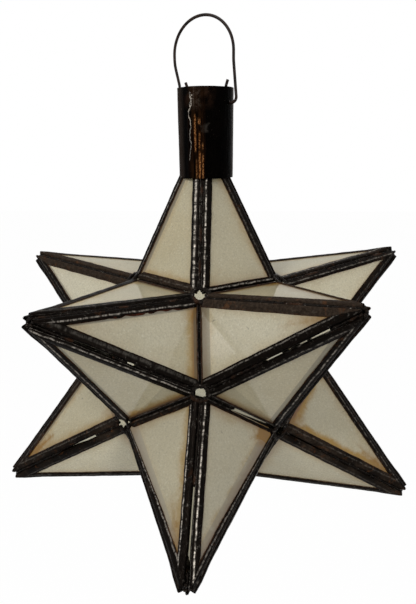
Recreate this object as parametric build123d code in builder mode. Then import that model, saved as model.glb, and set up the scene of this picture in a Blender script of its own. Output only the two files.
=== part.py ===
from build123d import *
import math
import os

# A hanging star lantern of tin and frosted glass. Its 12 points stand on the 12 faces of a
# regular dodecahedron, each point is a five-sided pyramid of glass panes, and every pane sits in
# folded tin strips. Millimetres, +Z up, the origin where a hook bears in the top of the wire bail,
# and the star's centre straight below it.

# ---- the star ----
tip_reach = 150.0  # star centre to the blunt end of a point
apex_reach = 159.0  # star centre to where the ridge lines of a point would meet
core_inradius = 61.8  # star centre to the five-sided foot of a point
tip_bead_height = 0.7  # the solder on a blunt end, which is the last bit of the reach
tip_bead_inset = 0.3  # from the outer corners of the strips' ends
tip_bead_draft = 35.0  # degrees, the slope of the bead's side
core_hole_radius = 3.2  # the open hole left where three points meet

# ---- panes and their tin strips ----
glass_thickness = 2.0
tin_sheet = 0.3
fold_radius = 0.8  # outside of the folds
glass_play = 0.05  # between the glass and a strip's side
pane_edge_play = 0.5  # between the glass and the fold of a strip
ridge_flange = 4.9  # width of a strip's side along a ridge
valley_flange_outside = 2.8  # width of a strip's outer side along a valley
valley_flange_inside = 4.9
seam_gap = 0.3  # between the strips of neighbouring panes
mitre_gap = 0.1  # between the strip ends of one pane
pane_tip_margin = 12.0  # the glass stops this far before the strips' ends
pane_corner_margin = 1.6  # and this far outside the open hole

# ---- solder ----
solder_play = 0.02
ridge_solder_depth = 1.0
valley_solder_start = 0.4  # below the valley line
valley_solder_depth = 1.2
solder_end_margin = 1.0  # from the open holes

# ---- the collar ----
collar_sheet = 0.35
collar_bore = 15.6  # inner radius at the lower edge, which sets how far down the point it sits
collar_play = 0.2  # round the top point's strips at the collar's lower edge
collar_length = 50.5
collar_flare = 0.9  # the rim is wider than the foot by this much in radius
collar_lap_angle = 32.0  # degrees of lapped seam
collar_seam_azimuth = -121.0  # where the lap starts; its free edge is near the front
star_in_collar = 2.5  # the cut ends of the top point stand this far up in the collar
solder_ring_height = 1.2
hole_below_rim = 8.7

# ---- the wire bail ----
wire_radius = 0.85
hook_play = 0.3  # between the wire and the edge of its hole
hook_azimuth = -26.0  # degrees, the line through both holes
bail_rise = 48.2  # from the holes to the top of the loop
loop_radius = 20.2
loop_offset = -1.3  # the loop leans to the left by this
right_leg_gap = 3.5  # from the collar to the wire
left_leg_gap = 0.65
right_tail_gap = 1.5  # from the collar's inside to the wire
left_tail_gap = 2.8
right_tail_length = 12.7  # from the holes' line up to the cut end
left_tail_length = 12.4
tail_curl = 1.2  # the cut ends lean outwards by this
tail_curl_height = 3.2
inner_bend = 2.2
right_outer_bend = 3.0
left_outer_bend = 1.6
leg_bend = 24.0
left_foot_bend = 12.0
shoulder_drop = 5.0  # from the loop's level down to where the legs turn
left_foot_rise = 10.5  # straight part of the left leg beside the collar

# ---- the lampholder and the bulb ----
bridge_sheet = 0.8
bridge_rim = 2.0  # strap left on either side of the nipple
bridge_leg = 9.0
bridge_play = 0.1
flex_bore_radius = 3.5
nipple_radius = 5.0
nipple_length = 17.0
nipple_above_bridge = 5.5
nipple_play = 0.1
nut_across_flats = 14.0
nut_height = 3.0
seat_play = 0.05  # between pieces that are screwed down on each other
holder_rise = 4.1  # above the solder in the collar
holder_radius = 10.0
holder_wall = 1.5
cap_height = 11.0
body_floor = 2.0
shell_radius = 6.4
shell_wall = 0.35
shell_recess = 1.0  # the screw shell ends this far inside the holder's mouth
thread_play = 0.25
bulb_cap_height = 13.0
bulb_cap_wall = 0.4
bulb_cap_shows = 1.2  # what of the bulb's cap stands out of the holder
bulb_radius = 8.0
bulb_length = 50.0
bulb_wall = 0.7
bulb_neck_height = 5.0
stem_height = 14.0
filament_radius = 0.5
filament_reach = 26.0
contact_width = 3.0
contact_height = 1.6

os.makedirs("parts", exist_ok=True)

# ---- dodecahedron geometry, worked out from the sizes above ----
fifth = 360 / 5
half_fifth = math.radians(fifth / 2)
golden = (1 + math.sqrt(5)) / 2
foot_inradius = core_inradius / golden
foot_radius = foot_inradius / math.cos(half_fifth)
half_base = foot_inradius * math.tan(half_fifth)
point_height = apex_reach - core_inradius
slant = math.hypot(foot_inradius, point_height)
ridge_length = math.hypot(foot_radius, point_height)
half_apex = math.atan2(half_base, slant)
half_corner = (math.pi / 2 - half_apex) / 2
neighbour_tilt = math.atan(0.5)  # elevation of the ring of points above the level
valley_lean = math.atan2(point_height, foot_inradius) - math.atan(1 / golden)

came_depth = glass_thickness + 2 * glass_play + 2 * tin_sheet
faces_cosine = (point_height**2 * math.cos(2 * half_fifth) + foot_inradius**2) / slant**2
half_ridge_angle = (math.pi - math.acos(faces_cosine)) / 2
ridge_setback = came_depth / math.tan(half_ridge_angle) + seam_gap / 2 / math.sin(half_ridge_angle)
valley_setback = seam_gap / 2
strips_end = tip_reach - tip_bead_height


def along_panel(height):
    """Distance up a panel's middle line, from its base, of a height above the star's centre."""
    return (height - core_inradius) * slant / point_height


corner_setback = ridge_setback / math.cos(half_apex)


def strip_corner_radius(height):
    """How far from a point's axis the outer corners of its strips are, at a height."""
    ridge_radius = (apex_reach - height) * foot_radius / point_height
    sideways = ridge_radius * math.sin(half_fifth) - corner_setback
    return math.hypot(ridge_radius * math.cos(half_fifth), sideways)


def height_of_corners(radius):
    """The height at which the outer corners of a point's strips are that far from its axis."""
    along = math.sqrt(radius**2 - (corner_setback * math.cos(half_fifth)) ** 2)
    ridge_radius = corner_setback * math.sin(half_fifth) + along
    return apex_reach - ridge_radius * point_height / foot_radius


# The collar goes down over the top point until its bore meets the strips' corners.
collar_foot = height_of_corners(collar_bore - collar_play)
collar_rim = collar_foot + collar_length
top_strips_end = collar_foot + star_in_collar
hole_height = collar_rim - hole_below_rim
loop_level = bail_rise - loop_radius
crown_drop = loop_radius - math.sqrt(loop_radius**2 - loop_offset**2)
star_z = -(hole_height + bail_rise - crown_drop - wire_radius)


def collar_inside(height):
    """Inner radius of the collar at a height above the star's centre."""
    return collar_bore + collar_flare * (height - collar_foot) / collar_length


def level(height):
    """Z of a height above the star's centre."""
    return star_z + height


def save(piece, name):
    piece.part.label = name
    export_step(piece.part, "parts/" + name + ".step")


# ---- one panel, lying flat: X along its base, Y towards the tip, outer face at Z 0 ----
outline_half_base = half_base * (1 - valley_setback / slant) - ridge_setback / math.cos(half_apex)
outline_apex = slant * (1 - ridge_setback / (half_base * math.cos(half_apex)))
outline_height = outline_apex - valley_setback
outline_side = math.hypot(outline_half_base, outline_height)
outline_inradius = outline_half_base * outline_height / (outline_half_base + outline_side)
incentre = Vector(0, valley_setback + outline_inradius)
base_left = Vector(-outline_half_base, valley_setback)
base_right = Vector(outline_half_base, valley_setback)
apex = Vector(0, outline_apex)


def inset(corner, distance):
    """The corner of the panel's outline, moved in by a distance from both of its sides."""
    return corner + (incentre - corner) * (distance / outline_inradius)


def band(start, end, start_half, end_half, width):
    """The outline of a strip's side, mitred at both ends, from the panel's edge to its width."""
    way = (end - start).normalized()
    from_start = way * (mitre_gap / 2 / math.sin(start_half))
    from_end = way * (mitre_gap / 2 / math.sin(end_half))
    return [
        start + from_start,
        end - from_end,
        inset(end, width) - from_end,
        inset(start, width) + from_start,
    ]


def make_cutter(hole_radius, end):
    """What is cut off a panel: the open holes and everything past the end of the point."""
    with BuildPart() as cutter:
        with BuildSketch(Plane.XY):
            with Locations((-half_base, 0), (half_base, 0)):
                Circle(hole_radius)
            with Locations((0, end)):
                Rectangle(2 * half_base, slant, align=(Align.CENTER, Align.MIN))
        extrude(amount=2 * came_depth, both=True)
    return cutter


def make_strip(start, end, start_half, end_half, outside, inside, end_height):
    """One folded strip: an outer side, the fold along the panel's edge and an inner side."""
    cutter = make_cutter(core_hole_radius, along_panel(end_height))
    way = (end - start).normalized()
    inwards = Vector(-way.Y, way.X)
    bends = [fold_radius, 0, 0, fold_radius - tin_sheet]
    with BuildPart() as strip:
        with BuildSketch(Plane(origin=start, x_dir=inwards, z_dir=way)):
            with BuildLine():
                FilletPolyline(
                    (0, 0),
                    (outside, 0),
                    (outside, -tin_sheet),
                    (tin_sheet, -tin_sheet),
                    (tin_sheet, tin_sheet - came_depth),
                    (inside, tin_sheet - came_depth),
                    (inside, -came_depth),
                    (0, -came_depth),
                    radius=bends + bends[::-1],
                    close=True,
                )
            make_face()
        extrude(amount=(end - start).length)
        with BuildSketch(Plane.XY):
            with BuildLine():
                widest = max(outside, inside) + tin_sheet
                Polyline(*band(start, end, start_half, end_half, widest), close=True)
            make_face()
        extrude(amount=2 * came_depth, both=True, mode=Mode.INTERSECT)
        add(cutter.part, mode=Mode.SUBTRACT)
    return strip


def make_pane(end_height, tip_margin):
    """The glass of one panel."""
    edge = tin_sheet + pane_edge_play
    cutter = make_cutter(core_hole_radius + pane_corner_margin, along_panel(end_height) - tip_margin)
    with BuildPart() as pane:
        with BuildSketch(Plane.XY.offset(-tin_sheet - glass_play)):
            with BuildLine():
                Polyline(inset(base_left, edge), inset(base_right, edge), inset(apex, edge), close=True)
            make_face()
        extrude(amount=-glass_thickness)
        add(cutter.part, mode=Mode.SUBTRACT)
    return pane


def make_strips(end_height):
    """The three strips of one panel: along its valley and along its two ridges."""
    valley = (valley_flange_outside, valley_flange_inside, end_height)
    ridge = (ridge_flange, ridge_flange, end_height)
    return [
        make_strip(base_left, base_right, half_corner, half_corner, *valley),
        make_strip(base_right, apex, half_corner, half_apex, *ridge),
        make_strip(apex, base_left, half_apex, half_corner, *ridge),
    ]


# ---- solder in a ridge's groove: X outwards, Y across, Z along the ridge from the foot ----
ridge_plane = Plane(
    origin=(foot_radius, 0, core_inradius),
    x_dir=(point_height, 0, foot_radius),
    z_dir=(-foot_radius, 0, point_height),
)


def make_ridge_solder(end_height):
    cosine, sine = math.cos(half_ridge_angle), math.sin(half_ridge_angle)
    bottom = -ridge_setback * cosine - came_depth * sine
    low = bottom + solder_play
    high = low + ridge_solder_depth
    low_half = seam_gap / 2 + (low - bottom) * cosine / sine - solder_play
    high_half = seam_gap / 2 + (high - bottom) * cosine / sine - solder_play
    start = core_hole_radius + solder_end_margin
    end = (end_height - core_inradius) * ridge_length / point_height
    with BuildPart() as solder:
        with BuildSketch(ridge_plane.offset(start)):
            with BuildLine():
                Polyline(
                    (low, -low_half), (high, -high_half), (high, high_half), (low, low_half), close=True
                )
            make_face()
        extrude(amount=end - start)
    return solder


# ---- solder under a valley: X outwards, Y along the valley from its middle ----
valley_plane = Plane(
    origin=(foot_inradius, 0, core_inradius),
    x_dir=(foot_inradius, 0, core_inradius),
    z_dir=(0, 1, 0),
)


def make_valley_solder():
    top = -valley_solder_start
    bottom = top - valley_solder_depth
    opening = valley_setback / math.cos(valley_lean) - solder_play
    top_half = opening - top * math.tan(valley_lean)
    bottom_half = opening - bottom * math.tan(valley_lean)
    half_length = half_base - core_hole_radius - solder_end_margin
    with BuildPart() as solder:
        with BuildSketch(valley_plane.offset(-half_length)):
            with BuildLine():
                Polyline(
                    (top, -top_half),
                    (bottom, -bottom_half),
                    (bottom, bottom_half),
                    (top, top_half),
                    close=True,
                )
            make_face()
        extrude(amount=2 * half_length)
    return solder


def make_tip_bead():
    with BuildPart() as bead:
        with BuildSketch(Plane.XY.offset(strips_end + solder_play)):
            Circle(strip_corner_radius(strips_end) - tip_bead_inset)
        extrude(amount=tip_bead_height - solder_play, taper=tip_bead_draft)
    return bead


# ---- where the 12 points stand ----
def point_place(azimuth, elevation):
    """The plane of a point: Z along its axis, X towards the middle of its first panel."""
    across, up = math.cos(elevation), math.sin(elevation)
    side, front = math.sin(azimuth), -math.cos(azimuth)
    first = 1 if elevation > 0 else -1
    return Plane(
        origin=(0, 0, star_z),
        x_dir=(-first * side * up, -first * front * up, first * across),
        z_dir=(side * across, front * across, up),
    )


front_half_turn = math.radians(fifth / 2)
upper_names = ["front_right", "back_right", "back", "back_left", "front_left"]
lower_names = ["front", "front_right", "back_right", "back_left", "front_left"]
first_front = (math.sin(front_half_turn), -math.cos(front_half_turn), 0)
top_place = Plane(origin=(0, 0, star_z), x_dir=first_front, z_dir=(0, 0, 1))
bottom_place = Plane(origin=(0, 0, star_z), x_dir=(0, -1, 0), z_dir=(0, 0, -1))
upper_places = [point_place(math.radians(fifth * (k + 0.5)), neighbour_tilt) for k in range(5)]
lower_places = [point_place(math.radians(fifth * k), -neighbour_tilt) for k in range(5)]
points = {"upper_" + name + "_point": place for name, place in zip(upper_names, upper_places)}
points.update({"lower_" + name + "_point": place for name, place in zip(lower_names, lower_places)})
points["bottom_point"] = bottom_place

panel_plane = Plane(
    origin=(foot_inradius, 0, core_inradius), x_dir=(0, 1, 0), z_dir=(point_height, 0, foot_inradius)
)


def panel_locations(place):
    return [place.location * Rot(0, 0, fifth * k) * panel_plane.location for k in range(5)]


def ridge_locations(place):
    return [place.location * Rot(0, 0, fifth * (k + 0.5)) for k in range(5)]


def make_point(name, place, pane, strips, ridge_solder, bead):
    """The panes, the strips and the solder of one point, each as its own group of solids."""
    with BuildPart() as panes:
        with Locations(*panel_locations(place)):
            add(pane.part)
    save(panes, name + "_panes")
    with BuildPart() as cames:
        with Locations(*panel_locations(place)):
            add([strip.part for strip in strips])
    save(cames, name + "_cames")
    with BuildPart() as solder:
        with Locations(*ridge_locations(place)):
            add(ridge_solder.part)
        if bead:
            with Locations(place.location):
                add(bead.part)
    save(solder, name + "_solder")


full_pane = make_pane(strips_end, pane_tip_margin)
full_strips = make_strips(strips_end)
full_ridge_solder = make_ridge_solder(strips_end)
tip_bead = make_tip_bead()
for point_name, point_plane in points.items():
    make_point(point_name, point_plane, full_pane, full_strips, full_ridge_solder, tip_bead)

# The top point is cut off inside the collar.
cut_pane = make_pane(top_strips_end, 0)
cut_strips = make_strips(top_strips_end)
make_point("top_point", top_place, cut_pane, cut_strips, make_ridge_solder(collar_foot), None)

# ---- the solder of the 30 valleys: each panel of the top and bottom points, and the rest once ----
one_valley = make_valley_solder()
valley_turns = [(top_place, range(5)), (bottom_place, range(5))]
valley_turns += [(place, range(1, 4)) for place in upper_places]
valley_turns += [(place, range(1, 2)) for place in lower_places]
valley_locations = [place.location * Rot(0, 0, fifth * k) for place, turns in valley_turns for k in turns]
with BuildPart() as valley_solder:
    with Locations(*valley_locations):
        add(one_valley.part)
save(valley_solder, "valley_solder")

# ---- the collar: rolled tin with a lapped seam, and two holes for the bail ----
rim_inside = collar_inside(collar_rim)
hooks_plane = Plane(
    origin=(0, 0, level(hole_height)),
    x_dir=(-math.sin(math.radians(hook_azimuth)), math.cos(math.radians(hook_azimuth)), 0),
    z_dir=(math.cos(math.radians(hook_azimuth)), math.sin(math.radians(hook_azimuth)), 0),
)
seam_plane = Plane.XZ.rotated((0, 0, collar_seam_azimuth))


def wall_outline(inner_foot, inner_rim, wall):
    """A strip of the collar's wall, cut through along the axis."""
    return [
        (inner_foot, level(collar_foot)),
        (inner_foot + wall, level(collar_foot)),
        (inner_rim + wall, level(collar_rim)),
        (inner_rim, level(collar_rim)),
    ]


with BuildPart() as collar:
    with BuildSketch(Plane.XZ):
        with BuildLine():
            Polyline(*wall_outline(collar_bore, rim_inside, collar_sheet), close=True)
        make_face()
    revolve(axis=Axis.Z)
    with BuildSketch(seam_plane):
        with BuildLine():
            Polyline(*wall_outline(collar_bore, rim_inside, 2 * collar_sheet), close=True)
        make_face()
    revolve(axis=Axis.Z, revolution_arc=collar_lap_angle)
    with BuildSketch(hooks_plane):
        Circle(wire_radius + hook_play)
    extrude(amount=rim_inside + 2 * collar_sheet, both=True, mode=Mode.SUBTRACT)
save(collar, "collar")

# Solder inside the collar, on the cut ends of the top point.
ring_foot = top_strips_end + seat_play
ring_top = ring_foot + solder_ring_height
ring_outside = collar_inside(ring_foot) - solder_play
ring_inside = (apex_reach - top_strips_end) * foot_inradius / point_height - came_depth
with BuildPart() as collar_solder:
    with BuildSketch(Plane.XY.offset(level(ring_foot))):
        Circle(ring_outside)
        Circle(ring_inside, mode=Mode.SUBTRACT)
    extrude(amount=solder_ring_height)
save(collar_solder, "collar_solder")

# ---- the bail: one wire, drawn in its own plane with X along the line of the holes ----
bail_plane = Plane(
    origin=(0, 0, level(hole_height)),
    x_dir=(math.cos(math.radians(hook_azimuth)), math.sin(math.radians(hook_azimuth)), 0),
    z_dir=(math.sin(math.radians(hook_azimuth)), -math.cos(math.radians(hook_azimuth)), 0),
)
wall_inside = collar_inside(hole_height)
wall_outside = wall_inside + collar_sheet
right_leg = wall_outside + right_leg_gap + wire_radius
left_leg = -(wall_outside + left_leg_gap + wire_radius)
right_tail = wall_inside - right_tail_gap - wire_radius
left_tail = -(wall_inside - left_tail_gap - wire_radius)
loop_right = loop_offset + loop_radius
loop_left = loop_offset - loop_radius
shoulder = loop_level - shoulder_drop
corner_play = 0.05  # keeps a short straight between the two quarter turns of the loop
wire_points = [
    (right_tail + tail_curl, right_tail_length),
    (right_tail, right_tail_length - tail_curl_height),
    (right_tail, 0),
    (right_leg, 0),
    (loop_right, shoulder),
    (loop_right, bail_rise),
    (loop_left, bail_rise),
    (loop_left, shoulder),
    (left_leg, left_foot_rise),
    (left_leg, 0),
    (left_tail, 0),
    (left_tail, left_tail_length - tail_curl_height),
    (left_tail - tail_curl, left_tail_length),
]
loop_bend = loop_radius - corner_play
wire_bends = [
    inner_bend,
    inner_bend,
    right_outer_bend,
    leg_bend,
    loop_bend,
    loop_bend,
    leg_bend,
    left_foot_bend,
    left_outer_bend,
    inner_bend,
    inner_bend,
]
with BuildPart() as bail:
    with BuildLine(bail_plane) as wire_line:
        FilletPolyline(*wire_points, radius=wire_bends)
    with BuildSketch(Plane(origin=wire_line.line @ 0, z_dir=wire_line.line % 0)):
        Circle(wire_radius)
    sweep(path=wire_line.line)
save(bail, "bail")

# ---- heights of the lampholder's pieces, which stand on one another above the solder ----
body_foot = ring_top + holder_rise
bulb_cap_foot = body_foot - bulb_cap_shows
bulb_top = bulb_cap_foot + bulb_cap_height
shell_top = bulb_top + seat_play + contact_height
socket_roof = shell_top + seat_play
body_top = socket_roof + body_floor
cap_foot = body_top + seat_play
cap_top = cap_foot + cap_height
bridge_top = cap_top + seat_play + bridge_sheet
bridge_foot = bridge_top - bridge_leg
nipple_top = bridge_top + nipple_above_bridge
nipple_foot = nipple_top - nipple_length

# ---- the lampholder's bridge: a springy strap whose turned-down ends press on the collar ----
bridge_reach = collar_inside(bridge_foot) - bridge_play
bridge_half_width = nipple_radius + nipple_play + bridge_rim
bridge_plane = Plane(
    origin=(0, 0, level(bridge_top)), x_dir=hooks_plane.x_dir, z_dir=hooks_plane.z_dir
)
with BuildPart() as lampholder_bridge:
    with BuildSketch(Plane.XY.offset(level(bridge_foot))):
        Circle(bridge_reach)
    extrude(amount=bridge_leg)
    with BuildSketch(Plane.XY.offset(level(bridge_foot))):
        Circle(bridge_reach - bridge_sheet)
    extrude(amount=bridge_leg - bridge_sheet, mode=Mode.SUBTRACT)
    with BuildSketch(bridge_plane):
        Rectangle(2 * bridge_reach, 2 * bridge_leg)
    extrude(amount=bridge_half_width, both=True, mode=Mode.INTERSECT)
    with BuildSketch(Plane.XY.offset(level(bridge_top))):
        Circle(nipple_radius + nipple_play)
    extrude(amount=-bridge_sheet, mode=Mode.SUBTRACT)
save(lampholder_bridge, "lampholder_bridge")

# ---- the hollow nipple, the flex's way in, and the lock nut on the bridge ----
with BuildPart() as lampholder_nipple:
    with BuildSketch(Plane.XY.offset(level(nipple_foot))):
        Circle(nipple_radius)
        Circle(flex_bore_radius, mode=Mode.SUBTRACT)
    extrude(amount=nipple_length)
save(lampholder_nipple, "lampholder_nipple")

with BuildPart() as lock_nut:
    with BuildSketch(Plane.XY.offset(level(bridge_top + seat_play))):
        RegularPolygon(nut_across_flats / 2, 6, major_radius=False)
        Circle(nipple_radius + nipple_play, mode=Mode.SUBTRACT)
    extrude(amount=nut_height)
save(lock_nut, "lock_nut")

# ---- the lampholder: a cap screwed on the nipple under the bridge, and the body below it ----
with BuildPart() as lampholder_cap:
    with BuildSketch(Plane.XY.offset(level(cap_foot))):
        Circle(holder_radius)
    extrude(amount=cap_height)
    fillet(lampholder_cap.faces().sort_by(Axis.Z)[-1].edges(), holder_wall)
    with BuildSketch(Plane.XY.offset(level(cap_foot))):
        Circle(holder_radius - holder_wall)
    extrude(amount=cap_height - 2 * holder_wall, mode=Mode.SUBTRACT)
    with BuildSketch(Plane.XY.offset(level(cap_foot))):
        Circle(nipple_radius + nipple_play)
    extrude(amount=cap_height, mode=Mode.SUBTRACT)
save(lampholder_cap, "lampholder_cap")

shell_outside = shell_radius + shell_wall
with BuildPart() as lampholder_body:
    with BuildSketch(Plane.XY.offset(level(body_foot))):
        Circle(holder_radius)
        Circle(shell_outside + nipple_play, mode=Mode.SUBTRACT)
    extrude(amount=socket_roof - body_foot)
    with BuildSketch(Plane.XY.offset(level(socket_roof))):
        Circle(holder_radius)
    extrude(amount=body_floor)
    fillet(lampholder_body.faces().sort_by(Axis.Z)[0].outer_wire().edges(), holder_wall / 2)
save(lampholder_body, "lampholder_body")

# ---- the screw shell and the centre contact inside the body ----
with BuildPart() as screw_shell:
    with BuildSketch(Plane.XY.offset(level(body_foot + shell_recess))):
        Circle(shell_outside)
        Circle(shell_radius, mode=Mode.SUBTRACT)
    extrude(amount=shell_top - body_foot - shell_recess)
save(screw_shell, "screw_shell")

with BuildPart() as centre_contact:
    with BuildSketch(Plane.XY.offset(level(shell_top))):
        Rectangle(2 * contact_width, contact_width)
    extrude(amount=-contact_height / 2)
    with BuildSketch(Plane.XY.offset(level(shell_top))):
        Circle(contact_width / 2)
    extrude(amount=-contact_height)
save(centre_contact, "centre_contact")

# ---- the bulb: screw cap, tubular glass and a stem with the filament ----
bulb_cap_radius = shell_radius - thread_play
neck_radius = bulb_cap_radius - bulb_cap_wall - seat_play
with BuildPart() as bulb_cap:
    with BuildSketch(Plane.XY.offset(level(bulb_top))):
        Circle(bulb_cap_radius)
    extrude(amount=-bulb_cap_height)
    chamfer(bulb_cap.faces().sort_by(Axis.Z)[-1].edges(), bulb_cap_radius / 3)
    with BuildSketch(Plane.XY.offset(level(bulb_cap_foot))):
        Circle(bulb_cap_radius - bulb_cap_wall)
    extrude(amount=bulb_neck_height + seat_play, mode=Mode.SUBTRACT)
save(bulb_cap, "bulb_cap")

bulb_foot = bulb_cap_foot - bulb_length
neck_top = bulb_cap_foot + bulb_neck_height
neck_inside = neck_radius - bulb_wall
flare_height = bulb_radius - neck_radius
with BuildPart() as bulb_glass:
    with BuildSketch(Plane.XZ):
        with BuildLine():
            Line((0, level(bulb_foot)), (0, level(bulb_foot + bulb_wall)))
            TangentArc(
                (0, level(bulb_foot + bulb_wall)),
                (bulb_radius - bulb_wall, level(bulb_foot + bulb_radius)),
                tangent=(1, 0),
            )
            Polyline(
                (bulb_radius - bulb_wall, level(bulb_foot + bulb_radius)),
                (bulb_radius - bulb_wall, level(bulb_cap_foot - flare_height - seat_play)),
                (neck_inside, level(bulb_cap_foot - seat_play)),
                (neck_inside, level(neck_top)),
                (neck_radius, level(neck_top)),
                (neck_radius, level(bulb_cap_foot - seat_play)),
                (bulb_radius, level(bulb_cap_foot - flare_height - seat_play)),
                (bulb_radius, level(bulb_foot + bulb_radius)),
            )
            TangentArc(
                (bulb_radius, level(bulb_foot + bulb_radius)),
                (0, level(bulb_foot)),
                tangent=(0, -1),
            )
        make_face()
    revolve(axis=Axis.Z)
save(bulb_glass, "bulb_glass")

stem_radius = neck_inside - seat_play
filament_spread = stem_radius / 2
stem_foot = neck_top - stem_height
with BuildPart() as filament_stem:
    with BuildSketch(Plane.XY.offset(level(neck_top))):
        Circle(stem_radius)
    extrude(amount=-bulb_neck_height)
    with BuildSketch(Plane.XY.offset(level(neck_top))):
        Circle(stem_radius / 2)
    extrude(amount=-stem_height)
    with BuildLine(Plane.XZ) as filament_line:
        FilletPolyline(
            (-filament_spread / 2, level(stem_foot + filament_radius)),
            (-filament_spread, level(stem_foot - filament_spread)),
            (-filament_spread, level(stem_foot - filament_reach)),
            (filament_spread, level(stem_foot - filament_reach)),
            (filament_spread, level(stem_foot - filament_spread)),
            (filament_spread / 2, level(stem_foot + filament_radius)),
            radius=filament_radius * 1.5,
        )
    with BuildSketch(Plane(origin=filament_line.line @ 0, z_dir=filament_line.line % 0)):
        Circle(filament_radius)
    sweep(path=filament_line.line)
save(filament_stem, "filament_stem")

print("star centre z", round(star_z, 2), "star across", round(2 * tip_reach * math.cos(neighbour_tilt), 1))
print("collar foot", round(collar_foot, 2), "rim inside", round(rim_inside, 2))
print("hole z", round(level(hole_height), 3), "bridge top", round(bridge_top, 2))
print("bail legs", round(left_leg, 2), round(right_leg, 2))
print("bail tails", round(left_tail, 2), round(right_tail, 2))
print("nipple top z", round(level(nipple_top), 2), "bulb foot", round(bulb_foot, 2))
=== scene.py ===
import math

import bpy
from mathutils import Matrix, Vector, noise


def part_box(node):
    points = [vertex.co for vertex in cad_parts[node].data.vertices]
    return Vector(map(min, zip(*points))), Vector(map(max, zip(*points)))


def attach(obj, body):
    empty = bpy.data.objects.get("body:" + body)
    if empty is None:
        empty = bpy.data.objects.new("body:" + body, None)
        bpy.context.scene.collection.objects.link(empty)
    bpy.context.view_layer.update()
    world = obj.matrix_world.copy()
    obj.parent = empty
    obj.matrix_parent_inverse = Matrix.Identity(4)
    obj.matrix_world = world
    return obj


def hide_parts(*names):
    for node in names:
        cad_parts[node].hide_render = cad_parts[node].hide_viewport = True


# A hanging star lantern: frosted panes in folded, lacquered tin strips, soldered at every corner,
# with a rolled tin collar and a wire bail. It stands in the CAD's frame. Lengths are in millimetres
# until a mesh is made of them, and in metres for the room and the lights.

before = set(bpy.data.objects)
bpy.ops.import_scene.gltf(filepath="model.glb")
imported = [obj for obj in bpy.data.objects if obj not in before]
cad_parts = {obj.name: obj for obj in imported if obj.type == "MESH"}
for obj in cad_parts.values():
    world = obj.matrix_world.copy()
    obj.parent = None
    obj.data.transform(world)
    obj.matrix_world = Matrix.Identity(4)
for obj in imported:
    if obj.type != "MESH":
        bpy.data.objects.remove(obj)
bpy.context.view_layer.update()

MM = 0.001
# Distances from the star's centre along a point: its blunt tip, its true apex, its foot and the cut
# ends of its strips.
TIP = 150.0
APEX = 159.0
FOOT = 61.8
STRIP_END = 149.3
# A strip's cut: how deep it is, its sheet, the gap to its neighbour and the widths of its sides.
DEPTH = 2.7
TIN = 0.3
GAP = 0.3
RIDGE_FLANGE = 4.9
VALLEY_OUTSIDE = 2.8
VALLEY_INSIDE = 4.9
# The radius of the hole at a corner where three points meet, and the thickness of a pane.
HOLE = 3.2
GLASS = 2.0
STAR_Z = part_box("bottom_point_solder")[0][2] / MM + TIP
COLLAR_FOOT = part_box("collar")[0][2] / MM - STAR_Z
TOP_END = COLLAR_FOOT + 2.5
STAR = Vector((0, 0, STAR_Z))

FIFTH = math.radians(72)
GOLDEN = (1 + math.sqrt(5)) / 2
FOOT_IN = FOOT / GOLDEN
FOOT_R = FOOT_IN / math.cos(FIFTH / 2)
HALF_BASE = FOOT_IN * math.tan(FIFTH / 2)
HEIGHT = APEX - FOOT
SLANT = math.hypot(FOOT_IN, HEIGHT)
HALF_APEX = math.atan2(HALF_BASE, SLANT)
HALF_CORNER = (math.pi / 2 - HALF_APEX) / 2
TILT = math.atan(0.5)
TURN = math.acos((HEIGHT**2 * math.cos(FIFTH) + FOOT_IN**2) / SLANT**2)
HALF_RIDGE = (math.pi - TURN) / 2
SETBACK = DEPTH / math.tan(HALF_RIDGE) + GAP / 2 / math.sin(HALF_RIDGE)


# ---- places ----
def frame_of(x_dir, z_dir, origin):
    """A matrix from two directions and an origin, all in millimetres."""
    z = Vector(z_dir).normalized()
    x = Vector(x_dir).normalized()
    y = z.cross(x)
    m = Matrix((x, y, z)).transposed().to_4x4()
    m.translation = Vector(origin)
    return m


def point_place(azimuth, elevation):
    """Where a point of the star stands: its Z runs out to its tip."""
    across, up = math.cos(elevation), math.sin(elevation)
    side, front = math.sin(azimuth), -math.cos(azimuth)
    first = 1 if elevation > 0 else -1
    x_dir = (-first * side * up, -first * front * up, first * across)
    return frame_of(x_dir, (side * across, front * across, up), STAR)


UPPER = ["front_right", "back_right", "back", "back_left", "front_left"]
LOWER = ["front", "front_right", "back_right", "back_left", "front_left"]
TOP_SIDE = (math.sin(FIFTH / 2), -math.cos(FIFTH / 2), 0)
POINTS = {"top_point": frame_of(TOP_SIDE, (0, 0, 1), STAR)}
for k in range(5):
    POINTS["upper_" + UPPER[k] + "_point"] = point_place(FIFTH * (k + 0.5), TILT)
    POINTS["lower_" + LOWER[k] + "_point"] = point_place(FIFTH * k, -TILT)
POINTS["bottom_point"] = frame_of((0, -1, 0), (0, 0, -1), STAR)

# A panel's own frame: X along its base, Y up its slant, Z outwards.
PANEL = frame_of((0, 1, 0), (HEIGHT, 0, FOOT_IN), (FOOT_IN, 0, FOOT))


def fifth_of(point, k, place):
    """A place of a point's first side, turned to its k-th; a half stands for the ridge after it."""
    return POINTS[point] @ Matrix.Rotation(FIFTH * k, 4, "Z") @ place


def share_of(value, start, span):
    """How far a value is past a start, as a share of a span, held between 0 and 1."""
    return min(1.0, max(0.0, (value - start) / span))


LF, RF = "upper_front_left_point", "upper_front_right_point"
LB, RB = "upper_back_left_point", "upper_back_right_point"
LL, LR, F = "lower_front_left_point", "lower_front_right_point", "lower_front_point"

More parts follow.
